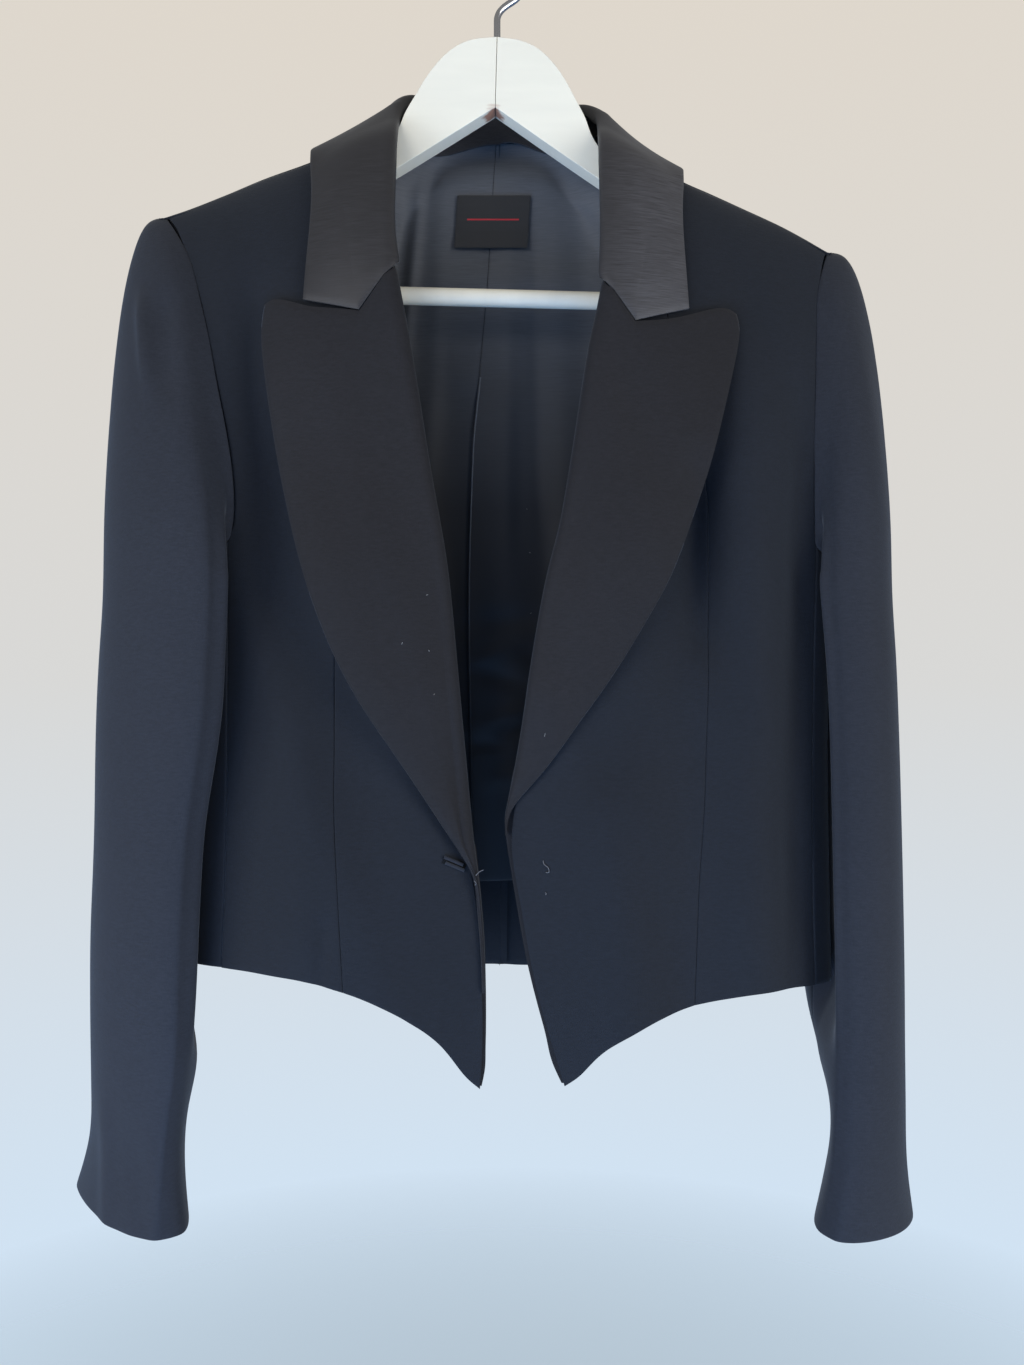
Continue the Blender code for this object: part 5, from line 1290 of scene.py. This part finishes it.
FOREARM_COLUMN = FRONT_STEPS + 2       # where the sleeve's front and back seams lie
HINDARM_COLUMN = FRONT_STEPS + UNDERARM_STEPS + 2
SLEEVE_GAP = SEAM / 2 + 0.1
for side in SIDES:
    whole = sleeve_grid(side)
    round_again = FOREARM_COLUMN + len(ARMHOLES[side]["z"]) - 1
    for name, first, last, flat in (
        (f"sleeve_upper_{side}", HINDARM_COLUMN, round_again, (0.235, 0.620)),
        (f"sleeve_under_{side}", FOREARM_COLUMN, HINDARM_COLUMN, (0.125, 0.480)),
    ):
        grid, normals = sleeve_part(whole, first, last)
        for edge_column, next_column in ((0, 3), (-1, -4)):
            grid[:, edge_column] += unit(grid[:, next_column] - grid[:, edge_column]) * SLEEVE_GAP
        grid[:2] += unit(grid[:1] - grid[3:4]) * SLEEVE_TO_SEAM
        if side == "right" and "upper" in name:
            relief = soft_folds(zip(*SLEEVE_FOLDS.values()), grid[..., 0], grid[..., 2], 3, 1.1, 2)
            grid += normals * relief[..., None]
        behind = [(edge, ALLOWANCE) for edge in (("top", "left", "right") if "under" in name else ("top",))]
        piece = sewn(f"{name}_cloth", grid, SLEEVE_CLOTH, whole[-1].mean(axis=0), normals, SLEEVE_END_TURN, behind)
        # Painted shade: the under sleeves take the darker body crepe.
        surface = BODY_CREPE if "under" in name else PAINTED_LIGHT_SLEEVE_CREPE
        hang(piece, name, surface)

# --- Back lining ------------------------------------------------------------------
# Dark satin lining in two halves. The centre seam opens below into a pleat for
# ease, whose left lip lies over the right half. The lining hangs in soft folds, is
# painted lighter towards the neck as a painted sheen, and is tucked up above the hem facing.

LINING_CLOTH = 1.0
LINING_BEHIND = 6.8        # the lining hangs this far inside the back
LINING_SEAM = dict(z=(-566, -516, -388, -292, -253, -189, -98), x=(-16, -17, -19, -16.5, -12.8, -7, -1.3))
LINING_TOP = dict(
    x=(-150, -100, -68, -50, -30, 0, 30, 50, 68, 100, 150),
    z=(-180, -147, -114, -106, -97.5, -95.0, -97.5, -106, -116, -152, -185),
)
LINING_BOTTOM_Z = -566.0
LINING_LOOSE = 3.0         # and this much more at its top, where it is free
LINING_AT_SEAM = 2.0       # but is sewn this close to the back at its very top
LINING_HALF = 150.0        # how far round each half goes
LINING_ROWS = 54
LINING_COLUMNS = 9
PLEAT_TOP_Z = -240.0
PLEAT_WIDTH = 9.0
PLEAT_BEHIND = (2.6, 1.6)  # depth of the right half's edge, and next to it
PLEAT_LIP = (2.2, 1.4)     # height of the left half's lip, and next to it


def inside_back(x, z, distance):
    """Points at a distance in from the outside of the back."""

    def form(across, height):
        return on_body(across, height, "back")

    x, z = np.broadcast_arrays(np.asarray(x, float), np.asarray(z, float))
    normals = surface_normals(form, x, z, 0.5, 0.5)
    normals *= np.sign(normals[..., 1:2])
    return form(x, z) - normals * distance


def lining_top_z(x):
    return read(LINING_TOP["x"], LINING_TOP["z"], x)


def lining_behind(down):
    """How far inside the back the lining hangs, by share of its length down."""
    return LINING_BEHIND + LINING_LOOSE * (1 - ease(down * 4))


LINING_FOLDS = dict(
    x_top=(-46, -58, -33, -6, 8, 22, 36, 52, -52, -30, 14, 30, 44),
    x_low=(-60, -66, -44, -10, 6, 26, 44, 60, -46, -24, 12, 34, 52),
    z_top=(-108, -112, -112, -115, -118, -112, -118, -124, -300, -330, -330, -300, -320),
    z_low=(-230, -240, -300, -330, -360, -330, -350, -330, -540, -540, -520, -500, -540),
    width=(4, 5, 7, 4, 6, 5, 8, 7, 9, 7, 9, 8, 8),
    height=(2.0, -1.7, 1.2, -0.7, 0.9, -0.6, 0.7, -0.6, 0.9, -0.8, 0.7, -0.8, 0.9),
)
LINING_CREASES = dict(
    x=(6, -4, 2, 8, 16, 30, -8, 12),
    z=(-402, -424, -438, -462, -470, -430, -480, -500),
    long=(22, 16, 18, 24, 14, 16, 12, 20),
    thick=(7, 5, 6, 5, 5, 6, 4, 6),
    slope=(0.1, 0.35, -0.25, 0.3, 0.1, -0.6, 0.0, 0.2),
    height=(-1.6, 1.2, -1.5, 1.3, -1.4, -1.2, -1.2, 1.2),
)


def lining_relief(x, z):
    """Soft hanging folds and the creases above the tuck."""
    depth = soft_folds(zip(*LINING_FOLDS.values()), x, z, 4, 1.2, 3)
    for spot_x, spot_z, long, thick, slope, height in zip(*LINING_CREASES.values()):
        level = z - spot_z - slope * (x - spot_x)
        depth += height * np.exp(-(((x - spot_x) / long) ** 2) - (level / thick) ** 2)
    return depth


def lining_grid(side):
    """Half of the back lining, seen from the front; the halves part in the pleat."""
    out = SIDES[side]
    down = steps(LINING_ROWS)
    top_z, outer_top = float(lining_top_z(0)), float(lining_top_z(out * LINING_HALF))
    inner_z = top_z + (LINING_BOTTOM_Z - top_z) * down
    outer_z = outer_top + (LINING_BOTTOM_Z - outer_top) * down
    inner = np.stack([at_height(LINING_SEAM, "x", inner_z) + out * SEAM / 2, inner_z], axis=-1)
    outer = np.stack([np.full(LINING_ROWS + 1, out * LINING_HALF), outer_z], axis=-1)
    top = edge_between(inner[0], outer[0], LINING_COLUMNS)
    top[1:-1, 1] = lining_top_z(top[1:-1, 0])
    bottom = edge_between(inner[-1], outer[-1], LINING_COLUMNS)
    flat = panel(inner, outer, top, bottom)
    distance = LINING_AT_SEAM + (lining_behind(down) - LINING_AT_SEAM) * ease(down * 16)
    grid = inside_back(flat[..., 0], flat[..., 1], distance[:, None, None])
    lifted = ease((PLEAT_TOP_Z - grid[:, 0, 2]) / 30)
    opened = ease((PLEAT_TOP_Z - 26 - grid[:, 0, 2]) / 60)
    if side == "right":
        grid[:, 0, 0] += PLEAT_WIDTH * opened
    for column, (behind, lip) in enumerate(zip(PLEAT_BEHIND, PLEAT_LIP)):
        grid[:, column, 1] += (behind if side == "right" else -lip) * lifted
    return grid


IN_FRONT_OF_LINING = (0.0, 500.0, -300.0)
# Painted sheen: the lining is painted lighter towards the neck, from 330 mm to 105 mm below the hook.
LINING_SATIN = satin(
    "lining_satin", (0.007, 0.009, 0.014), (0.018, 0.0215, 0.030), 0.60, (0.25, 0.265, 0.295), ("Z", -0.33, -0.105)
)
for side in SIDES:
    grid = closer(lining_grid(side), 3, 12)
    grid[..., 1] -= lining_relief(grid[..., 0], grid[..., 2])
    piece = sewn(f"lining_back_{side}_satin", grid, LINING_CLOTH, IN_FRONT_OF_LINING, turned=0.3)
    hang(piece, f"lining_back_{side}", LINING_SATIN)

# --- Pleat's fold -----------------------------------------------------------------
# The lip of the lining's pleat is pressed to a narrow roll, a turned edge of the
# satin, painted in light tones down the pleat as a painted highlight, lightest at its top.

FOLD_TOP_Z, FOLD_LOW_Z = -246.0, -545.0
FOLD_ROLL = 0.42
# Painted highlight: the fold's tones, painted far lighter than the lining and lightest towards its top.
FOLD_HIGHLIGHT_TONES = ((0.012, 0.014, 0.018), (0.03, 0.034, 0.042), 0.5, (0.42, 0.44, 0.48))
EYE_SIDE_Y = -0.5          # in front of the whole jacket, in metres


def lie_on(piece, across, heights, lift):
    """Points just off a piece's outside; past its edge they keep the last depth."""
    points = []
    for x, z in zip(across, heights):
        hit, point = piece.ray_cast(Vector((x * MM, EYE_SIDE_Y, z * MM)), Vector((0, 1, 0)))[:2]
        depth = point.y / MM - lift if hit else points[-1][1]
        points.append((x, depth, z))
    return np.array(points)


def fibres(name, lines, thickness):
    """Fine threads, each a thin tube along its line."""
    spun = bpy.data.curves.new(name, "CURVE")
    spun.dimensions = "3D"
    spun.bevel_depth = thickness * MM
    spun.bevel_resolution = 1
    spun.use_fill_caps = True
    for line in lines:
        spline = spun.splines.new("POLY")
        spline.points.add(len(line) - 1)
        for point, place in zip(spline.points, line):
            point.co = (*(place * MM), 1.0)
    return placed(name, spun)


bpy.context.view_layer.update()
z = FOLD_TOP_Z + (FOLD_LOW_Z - FOLD_TOP_Z) * steps(60)
lip = lie_on(bpy.data.objects["lining_back_left_satin"], at_height(LINING_SEAM, "x", z) + 1.0, z, 0.25)
piece = fibres("pleat_fold_satin", [lip], FOLD_ROLL)
belongs(piece, satin("fold_satin", *FOLD_HIGHLIGHT_TONES, ("Z", -0.50, -0.24)))

# --- Facings ----------------------------------------------------------------------
# The hem of the back is faced with a band of the body cloth, and each front with
# a shaped facing whose edge shows past the front just below the break.

HEM_FACING_TOP_Z = -560.0
HEM_FACING_BEHIND = 3.2    # depth behind the back's outside
FACING_WIDTH = 42.0
FACING_CLOTH = 1.2
FACING_BEHIND = 3.8        # depth behind the front's outside
FACING_HEM = 1.2           # the facing stays this far above the front's hem
FACING_TOP_Z = {"right": -535.0, "left": -492.0}


def hem_facing_grid():
    x = np.linspace(-150, 160, 15)
    top = np.full(len(x), HEM_FACING_TOP_Z)
    low = back_hem_z(x) + 1.0
    z = top + (low - top) * steps(2)[:, None]
    grid = on_body(x[None, :], z, "back")
    grid[..., 1] -= HEM_FACING_BEHIND
    return grid


grid = closer(hem_facing_grid(), 10, 6)
piece = sewn("hem_facing_back_cloth", grid, LINING_CLOTH, IN_FRONT_OF_LINING)
hang(piece, "hem_facing_back", BODY_CREPE)


def facing_grid(side):
    """The front's inside facing, whose edge shows past the front below the break."""
    out = SIDES[side]
    edge = FRONT_EDGE[side]
    top = FACING_TOP_Z[side]
    low = min(edge["z"]) + FACING_HEM
    z = top + (low - top) * steps(14)
    near = at_height(edge, "x", z)
    width = np.minimum(FACING_WIDTH, 1.0 + 1.05 * (z - low))
    across = steps(3)
    x = near[:, None] + out * width[:, None] * across[None, :]
    hem = hem_z(side, x) + FACING_HEM
    z = np.maximum(z[:, None], np.where(np.abs(x - near[:, None]) > 0.1, hem, -1000.0))
    grid = on_body(x, z, "front")
    grid[..., 1] += FACING_BEHIND
    return grid


IN_FRONT_OF_FACING = (0.0, -500.0, -600.0)
for side in SIDES:
    grid = closer(facing_grid(side), 8, 8)
    piece = sewn(f"facing_{side}_cloth", grid, FACING_CLOTH, IN_FRONT_OF_FACING)
    hang(piece, f"facing_{side}", LAPEL_CREPE)

# --- Label ------------------------------------------------------------------------
# A plain charcoal damask label, folded in at its ends and sewn to the lining below
# the neck, with one red line woven across it.

LABEL_SIZE = (46.5, 33.2)
LABEL_CLOTH = 0.7
LABEL_CENTRE = (-3.4, -149.3)
LABEL_LEAN = 0.065         # it hangs a little askew
LABEL_LIFT = 2.4           # this far off the lining's hidden side
LABEL_CURL = 1.3           # its free lower edge stands off this much more
RED_LINE = (-0.003, -0.1478)       # the woven line's middle, in metres
RED_LINE_HALF = (0.0165, 0.0162)   # half its length, outside and inside the soft ends
RED_LINE_THICK = (0.0006, 0.0004)  # half its thickness, outside and inside the soft edge


def label_grid():
    width, height = LABEL_SIZE
    z = LABEL_CENTRE[1] - (steps(3)[:, None] - 0.5) * height
    x = LABEL_CENTRE[0] + (steps(5)[None, :] - 0.5) * width + LABEL_LEAN * (z - LABEL_CENTRE[1])
    top_z = float(lining_top_z(0))
    down = np.broadcast_to((top_z - z) / (top_z - LINING_BOTTOM_Z), x.shape)[..., None]
    return inside_back(x, z, lining_behind(down) + LABEL_LIFT)


def woven_label():
    """Close damask weave with a plain red line woven across the middle."""
    kit = nodes_of("woven_label", (0.05, 0.05, 0.052), 0.7)

    def threads(count, way):
        wave = {"Vector": kit.stretched((1.0, 1.0, 1.0)), "Scale": count, "Distortion": 0.6}
        return kit.add("TexWave", wave, bands_direction=way).outputs["Fac"]

    def within(value, middle, edges):
        """1 within the inner edge on both sides of the middle, 0 past the outer one."""
        away = kit.sums("ABSOLUTE", kit.sums("SUBTRACT", value, middle), 0.0)
        return kit.between(away, *edges)

    weave = kit.sums("ADD", threads(520.0, "X"), threads(430.0, "Z"))
    ground = kit.blend(kit.between(weave, 0.2, 1.8), (0.012, 0.012, 0.013), (0.028, 0.028, 0.030))
    across, _, height = kit.add("SeparateXYZ", {0: kit.place}).outputs
    line = kit.sums(
        "MULTIPLY", within(height, RED_LINE[1], RED_LINE_THICK), within(across, RED_LINE[0], RED_LINE_HALF)
    )
    kit.lead(kit.blend(line, ground, (0.48, 0.020, 0.030)), "Base Color")
    kit.raised(kit.sums("ADD", weave, line), 0.00010, 0.8)
    kit.shader.inputs["Sheen Weight"].default_value = 0.2
    return kit.surface


grid = closer(label_grid(), 10, 12)
curl = ease((LABEL_CENTRE[1] - 4 - grid[..., 2]) / 12)
grid[..., 1] -= LABEL_CURL * curl
piece = sewn("label_woven", grid, LABEL_CLOTH, IN_FRONT_OF_LINING, turned=0.2)
hang(piece, "label", woven_label())

# --- Buttonhole -------------------------------------------------------------------
# One bound buttonhole on the wearer's right front: two narrow jets of the crepe,
# set into the front at a slant, painted in the lighter sleeve copy as a painted
# highlight, with a dark strip between them as painted shade for the slit.

JETS = dict(
    name=("buttonhole_jet_upper", "buttonhole_jet_lower", "buttonhole_slit_shade"),
    start=((-29.4, -540.5), (-28.8, -543.7), (-30.0, -542.0)),
    end=((-18.8, -545.4), (-18.2, -548.6), (-17.9, -547.4)),
    width=(2.1, 2.1, 4.6),
    lift=(1.7, 1.7, 0.5),
    wall=(1.0, 1.0, 0.3),
)


JET_CROWN = 0.35           # a jet is this much higher along its middle
# Painted shade: a near-black strip where the slit between the jets lies in shade.
SLIT_SHADE_CREPE = crepe("slit_painted_shade", (0.0010, 0.0012, 0.0018), (0.0022, 0.0025, 0.0034))


def jet_grid(start, end, width, lift):
    """A strip of the buttonhole, made from the front's points moved out."""
    start, end = np.array(start), np.array(end)
    way = start + (end - start) * steps(4)[:, None]
    normal = unit(np.array([-(end - start)[1], (end - start)[0]]))
    flat = way[:, None] + normal * ((steps(2) - 0.5) * width)[None, :, None]
    grid = on_face(np.stack([flat[..., 0], row_of(crest(flat[..., 0]) - flat[..., 1])], axis=-1), "front")[0]
    grid[..., 1] -= lift + JET_CROWN * np.array([0.0, 1.0, 0.0])
    return grid


for name, start, end, width, lift, wall in zip(*JETS.values()):
    grid = closer(jet_grid(start, end, width, lift), 6, 6)
    piece = sewn(f"{name}_cloth", grid, wall, INSIDE_LAPEL, turned=0.3 * wall)
    if name == "buttonhole_slit_shade":
        belongs(piece, SLIT_SHADE_CREPE)
    else:
        # Painted highlight: the jets take the lighter sleeve crepe.
        belongs(piece, PAINTED_LIGHT_SLEEVE_CREPE, name)

# --- Loose threads ----------------------------------------------------------------
# Where a button came off, ends of its spun thread are left on the wearer's left
# front, with two more at the wearer's right edge. Short pale fibres of lint cling
# to the lapels, the front and the lining.

FIBRE = 0.12               # half thickness of a fibre, and of the button's thread
THREAD = 0.3
THREADS = dict(
    piece=("front_left_cloth",) * 2 + ("lapel_right_cloth",) * 2,
    x=((27.0, 27.4, 29.6, 30.2, 28.4), (28.0, 28.6, 28.3), (-11.6, -9.4, -7.2), (-12.4, -11.4, -12.0)),
    z=((-543.2, -545.4, -547.0, -549.6, -549.9), (-561.6, -562.0, -562.8), (-550.8, -548.6, -547.6),
       (-554.0, -555.2, -556.4)),
)
LINT = dict(
    piece=("lapel_right_cloth",) * 4 + ("front_right_cloth", "front_right_cloth", "lapel_left_cloth")
    + ("lining_back_left_satin",) * 3,
    x=(-38.1, -51.6, -37.0, -34.2, -58.3, -61.1, 27.5, 21.0, 20.4, 18.5),
    z=(-392.5, -419.4, -423.4, -447.5, -359.4, -306.6, -470.5, -396.9, -358.2, -330.3),
    long=(0.9, 1.2, 0.9, 0.8, 1.1, 0.8, 2.0, 1.1, 0.8, 0.9),
    turn=(0.4, 1.2, 2.2, 0.9, 1.7, 0.2, 1.4, 0.6, 2.6, 1.9),
)


def spun_thread(name, dark, light):
    kit = nodes_of(name, light, 0.8)
    kit.lead(kit.blend(kit.noise((900, 900, 900)), dark, light), "Base Color")
    return kit.surface


bpy.context.view_layer.update()
loose = []
for name, across, heights in zip(*THREADS.values()):
    bends = lie_on(bpy.data.objects[name], across, heights, 0.5)
    loose.append(smooth_weights(len(bends), np.linspace(0, len(bends) - 1, 9)) @ bends)
cling = []
for name, x, z, long, turn in zip(*LINT.values()):
    ends = 0.5 * long * np.linspace(-1, 1, 3)
    cling.append(lie_on(bpy.data.objects[name], x + math.cos(turn) * ends, z + math.sin(turn) * ends, 0.25))
for name, lines, thickness, surface in (
    ("loose_threads", loose, THREAD, spun_thread("button_thread", (0.05, 0.05, 0.055), (0.16, 0.16, 0.17))),
    ("lint", cling, FIBRE, spun_thread("pale_fibre", (0.20, 0.20, 0.21), (0.45, 0.45, 0.44))),
):
    belongs(fibres(name, lines, thickness), surface)

# --- Hanger -----------------------------------------------------------------------
# A shaped wooden hanger in two arms, glued together at the middle and sprayed
# with white paint, with a round bar between the arms.

HANGER_TILT = math.radians(1.5)
HANGER_MIDDLE = 1.5
HANGER_THICK = 12.0
ARM_ROUNDING = 0.3
# Outline of one arm by distance from the joint, before the hanger is tilted.
ARM_TOP = dict(
    x=(0.15, 12, 22.5, 32, 40.4, 48, 54, 58, 64, 75, 92, 110, 150, 180, 194, 198),
    z=(-54, -55.3, -59, -66.5, -77, -90, -101, -111, -120, -128, -138, -147, -166, -184, -198, -213),
)
ARM_LOWER = dict(
    x=(198, 192, 180, 174, 174, 168, 150, 110, 57.5, 0.15),
    z=(-216, -222, -222, -216, -202, -198, -189, -167, -134, -96.3),
)
BAR_Z = -208.5
BAR_RADIUS = 5.2
BAR_HALF_LENGTH = 173.7
BARE_WOOD = (0.42, 0.22, 0.15)
BARE_PLACE = (-0.0025, 0.0, -0.0985)       # underside of the joint, in metres
BARE_EDGE = (0.0125, 0.0095)               # paint is whole from here, and gone from there


def tilted(x, y, z):
    """A hanger point moved to its middle line and turned about the hook."""
    x = x + HANGER_MIDDLE
    return (
        (x * math.cos(HANGER_TILT) + z * math.sin(HANGER_TILT)) * MM,
        y * MM,
        (-x * math.sin(HANGER_TILT) + z * math.cos(HANGER_TILT)) * MM,
    )


def painted_wood():
    """White satin paint over closed grain, rubbed through to the wood under the joint."""
    kit = nodes_of("painted_wood", (0.82, 0.82, 0.80), 0.42)
    grain = kit.noise((30, 300, 300), 4.0, 0.55)
    brush = kit.noise((14, 90, 90), 3.0)
    paint = kit.blend(kit.between(brush, 0.3, 0.75), (0.92, 0.880, 0.745), (0.86, 0.825, 0.70))
    joint = kit.add("VectorMath", {0: kit.place, 1: BARE_PLACE}, operation="DISTANCE").outputs["Value"]
    ragged = kit.plus(joint, grain, 0.010)
    kit.lead(kit.blend(kit.between(ragged, *BARE_EDGE), paint, BARE_WOOD), "Base Color")
    kit.lead(kit.between(brush, *MIDDLE, 0.36, 0.50), "Roughness")
    kit.raised(grain, 0.00012, 0.5)
    return kit.surface


PAINTED_WOOD = painted_wood()


def hanger_arm(side):
    """One arm: its outline, drawn out to its thickness and rounded."""
    out = SIDES[side]
    edges = ((ARM_TOP, 90), (ARM_LOWER, 60))
    outline = np.vstack([along(np.stack([table["x"], table["z"]], axis=-1), steps(count)) for table, count in edges])
    form = bmesh.new()
    front = [form.verts.new(tilted(out * x, -HANGER_THICK / 2, z)) for x, z in outline]
    face = form.faces.new(front)
    drawn = bmesh.ops.extrude_face_region(form, geom=[face])
    moved = [part for part in drawn["geom"] if isinstance(part, bmesh.types.BMVert)]
    bmesh.ops.translate(form, verts=moved, vec=(0, HANGER_THICK * MM, 0))
    bmesh.ops.recalc_face_normals(form, faces=form.faces)
    arm = finished(bpy.data.meshes.new(f"hanger_arm_{side}_painted"), form, 40)
    rounding = arm.modifiers.new("rounding", "BEVEL")
    rounding.width = ARM_ROUNDING * MM
    rounding.segments = 3
    rounding.limit_method = "ANGLE"
    rounding.angle_limit = math.radians(50)
    return arm


for side in SIDES:
    belongs(hanger_arm(side), PAINTED_WOOD, f"hanger_arm_{side}")

bar_form = bmesh.new()
bmesh.ops.create_cone(
    bar_form, cap_ends=True, segments=64, radius1=BAR_RADIUS * MM, radius2=BAR_RADIUS * MM,
    depth=2 * BAR_HALF_LENGTH * MM,
)
bar = finished(bpy.data.meshes.new("trouser_bar_painted"), bar_form, 40)
bar.rotation_euler = (0, math.pi / 2 + HANGER_TILT, 0)
bar.location = tilted(0.0, 0.0, BAR_Z)
belongs(bar, PAINTED_WOOD, "trouser_bar")

# --- Hook -------------------------------------------------------------------------
# The hook is a bright plated steel wire that turns in the middle of the hanger,
# bent to an open loop.

WIRE_RADIUS = 2.0
LOOP_RADIUS = 17.0
LOOP_FROM = -58.0          # degrees, from the viewer's right
LOOP_TO = 206.0
STEM_FOOT_Z = -53.4
STEM_TOP_Z = -41.0
BEND_RISE = 6.0            # how far the stem and the loop draw the bend between them
BEND_REACH = 5.0
WIRE_SIDES = 32
WIRE_STEPS = 220


def hook_route():
    """Centre line of the wire: stem, an easy bend, then the loop."""
    centre_z = WIRE_RADIUS - LOOP_RADIUS
    turn = np.radians(np.linspace(LOOP_FROM, LOOP_TO, 34))
    loop = np.stack([LOOP_RADIUS * np.cos(turn), centre_z + LOOP_RADIUS * np.sin(turn)], axis=-1)
    along_loop = np.array([-math.sin(turn[0]), math.cos(turn[0])])
    foot = np.array([0.0, STEM_FOOT_Z])
    stem_top = np.array([0.0, STEM_TOP_Z])
    bend = bezier(stem_top, stem_top + (0, BEND_RISE), loop[0] - along_loop * BEND_REACH, loop[0], 8)
    return np.vstack([foot[None], (foot + stem_top)[None] / 2, bend[:-1], loop])


def plated_wire():
    kit = nodes_of("plated_wire", (0.62, 0.62, 0.64), 0.2, 1.0)
    drawn = kit.noise((700, 700, 60))
    kit.lead(kit.between(drawn, *MIDDLE, 0.16, 0.30), "Roughness")
    kit.raised(drawn, 0.00004, 0.4)
    return kit.surface


def bent_wire(name, route, sides):
    """A round wire along a flat route, closed at both ends."""
    run = unit(np.gradient(route, axis=0))
    turn = np.linspace(0, 2 * math.pi, sides, endpoint=False)
    form = bmesh.new()
    rings = []
    for (x, z), (run_x, run_z) in zip(route, run):
        ring = []
        for angle in turn:
            aside = WIRE_RADIUS * math.cos(angle)
            point = ((x - run_z * aside) * MM, WIRE_RADIUS * math.sin(angle) * MM, (z + run_x * aside) * MM)
            ring.append(form.verts.new(point))
        rings.append(ring)
    for ring, following in zip(rings, rings[1:]):
        for number in range(sides):
            after = (number + 1) % sides
            form.faces.new((ring[number], ring[after], following[after], following[number]))
    form.faces.new(rings[0][::-1])
    form.faces.new(rings[-1])
    bmesh.ops.recalc_face_normals(form, faces=form.faces)
    return finished(bpy.data.meshes.new(name), form, 50)


route = hook_route()
fine_route = smooth_weights(len(route), np.linspace(0, len(route) - 1, WIRE_STEPS)) @ route
hook = bent_wire("hook_plated", fine_route, WIRE_SIDES)
belongs(hook, plated_wire(), "hook")

# --- Surroundings -----------------------------------------------------------------
# A pale floor well below the jacket, which fades into a soft pale surround, five
# large soft lights, and the camera at the photograph's viewing angle. The surround
# is seen in one set of tones and lights the jacket in another.

scene = bpy.context.scene
scene.view_settings.view_transform = "Standard"

FLOOR_Z = -1.35
FLOOR_RADIUS = 1.6
FLOOR_FADE = (0.05, 1.7)   # squares of the distances over which the floor fades away
floor_mesh = bpy.data.meshes.new("floor")
rim = np.linspace(0, 2 * math.pi, 96, endpoint=False)
disc = [(FLOOR_RADIUS * math.cos(turn), FLOOR_RADIUS * math.sin(turn), FLOOR_Z) for turn in rim]
floor_mesh.from_pydata(disc, [], [list(range(len(disc)))])
floor = placed("floor", floor_mesh)
kit = nodes_of("pale_floor", (0.72, 0.78, 0.86), 0.9)
kit.lead(kit.blend(kit.noise((3, 3, 3)), (0.80, 0.92, 1.0), (0.83, 0.95, 1.0)), "Base Color")
east, north, _ = kit.add("SeparateXYZ", {0: kit.place}).outputs
far = kit.sums("ADD", kit.sums("MULTIPLY", east, east), kit.sums("MULTIPLY", north, north))
kit.lead(kit.between(far, *FLOOR_FADE, 0.85, 0.0), "Alpha")
floor_mesh.materials.append(kit.surface)

SKY_REACH = 0.6            # height on the unit sphere over which the surround changes
world = bpy.data.worlds.new("surround")
scene.world = world
world.use_nodes = True
tree = world.node_tree
direction = tree.nodes.new("ShaderNodeTexCoord").outputs["Generated"]
split = tree.nodes.new("ShaderNodeSeparateXYZ")
tree.links.new(direction, split.inputs[0])


def sky(low, level, high, strength):
    """A surround whose colour goes from below to above."""
    height = tree.nodes.new("ShaderNodeMapRange")
    height.inputs["From Min"].default_value = -SKY_REACH
    height.inputs["From Max"].default_value = SKY_REACH
    tree.links.new(split.outputs["Z"], height.inputs["Value"])
    ramp = tree.nodes.new("ShaderNodeValToRGB")
    tree.links.new(height.outputs["Result"], ramp.inputs["Fac"])
    ramp.color_ramp.elements.new(0.5)
    for stop, colour in zip(ramp.color_ramp.elements, (low, level, high)):
        stop.color = (*colour, 1)
    shade = tree.nodes.new("ShaderNodeBackground")
    shade.inputs["Strength"].default_value = strength
    tree.links.new(ramp.outputs["Color"], shade.inputs["Color"])
    return shade.outputs[0]


seen = sky((0.62, 0.79, 0.97), (0.69, 0.69, 0.68), (0.74, 0.68, 0.60), 1.0)
lit = sky((0.30, 0.52, 0.95), (0.62, 0.66, 0.76), (0.80, 0.79, 0.76), 0.33)
seen_share = tree.nodes.new("ShaderNodeLightPath").outputs["Is Camera Ray"]
either = tree.nodes.new("ShaderNodeMixShader")
for socket, value in ((0, seen_share), (1, lit), (2, seen)):
    tree.links.new(value, either.inputs[socket])
tree.links.new(either.outputs[0], tree.nodes["World Output"].inputs["Surface"])

LIGHTS = dict(
    name=("window_left", "side_left", "room_right", "side_right", "low_sky"),
    place=((-0.9, -1.6, -0.1), (-1.5, -0.95, -0.75), (1.2, -1.3, -0.15), (1.45, -1.0, -0.85), (-0.2, -0.6, -1.25)),
    size=(1.0, 0.9, 1.0, 0.9, 0.9),
    power=(9.5, 15.5, 8.5, 13.0, 9.0),
    colour=((1.0, 0.96, 0.90), (0.86, 0.92, 1.0), (1.0, 0.96, 0.90), (0.86, 0.92, 1.0), (0.20, 0.48, 1.0)),
    aim_z=(-0.4, -0.5, -0.4, -0.55, -0.72),
)
for name, place, size, power, colour, aim_z in zip(*LIGHTS.values()):
    lamp = bpy.data.lights.new(name, "AREA")
    lamp.shape = "SQUARE"
    lamp.size = size
    lamp.energy = power
    lamp.color = colour
    holder = placed(name, lamp)
    holder.location = place
    aim = Vector((0.0, 0.0, aim_z)) - Vector(place)
    holder.rotation_euler = aim.to_track_quat("-Z", "Y").to_euler()
    holder.visible_camera = False

CAMERA_PLACE = (0.009, -0.620, -0.441)
camera = bpy.data.cameras.new("camera")
camera.sensor_width = 36.0
camera.lens = 27.03
viewer = placed("camera", camera)
viewer.location = CAMERA_PLACE
viewer.rotation_euler = (math.pi / 2, 0.0, 0.0)
scene.camera = viewer
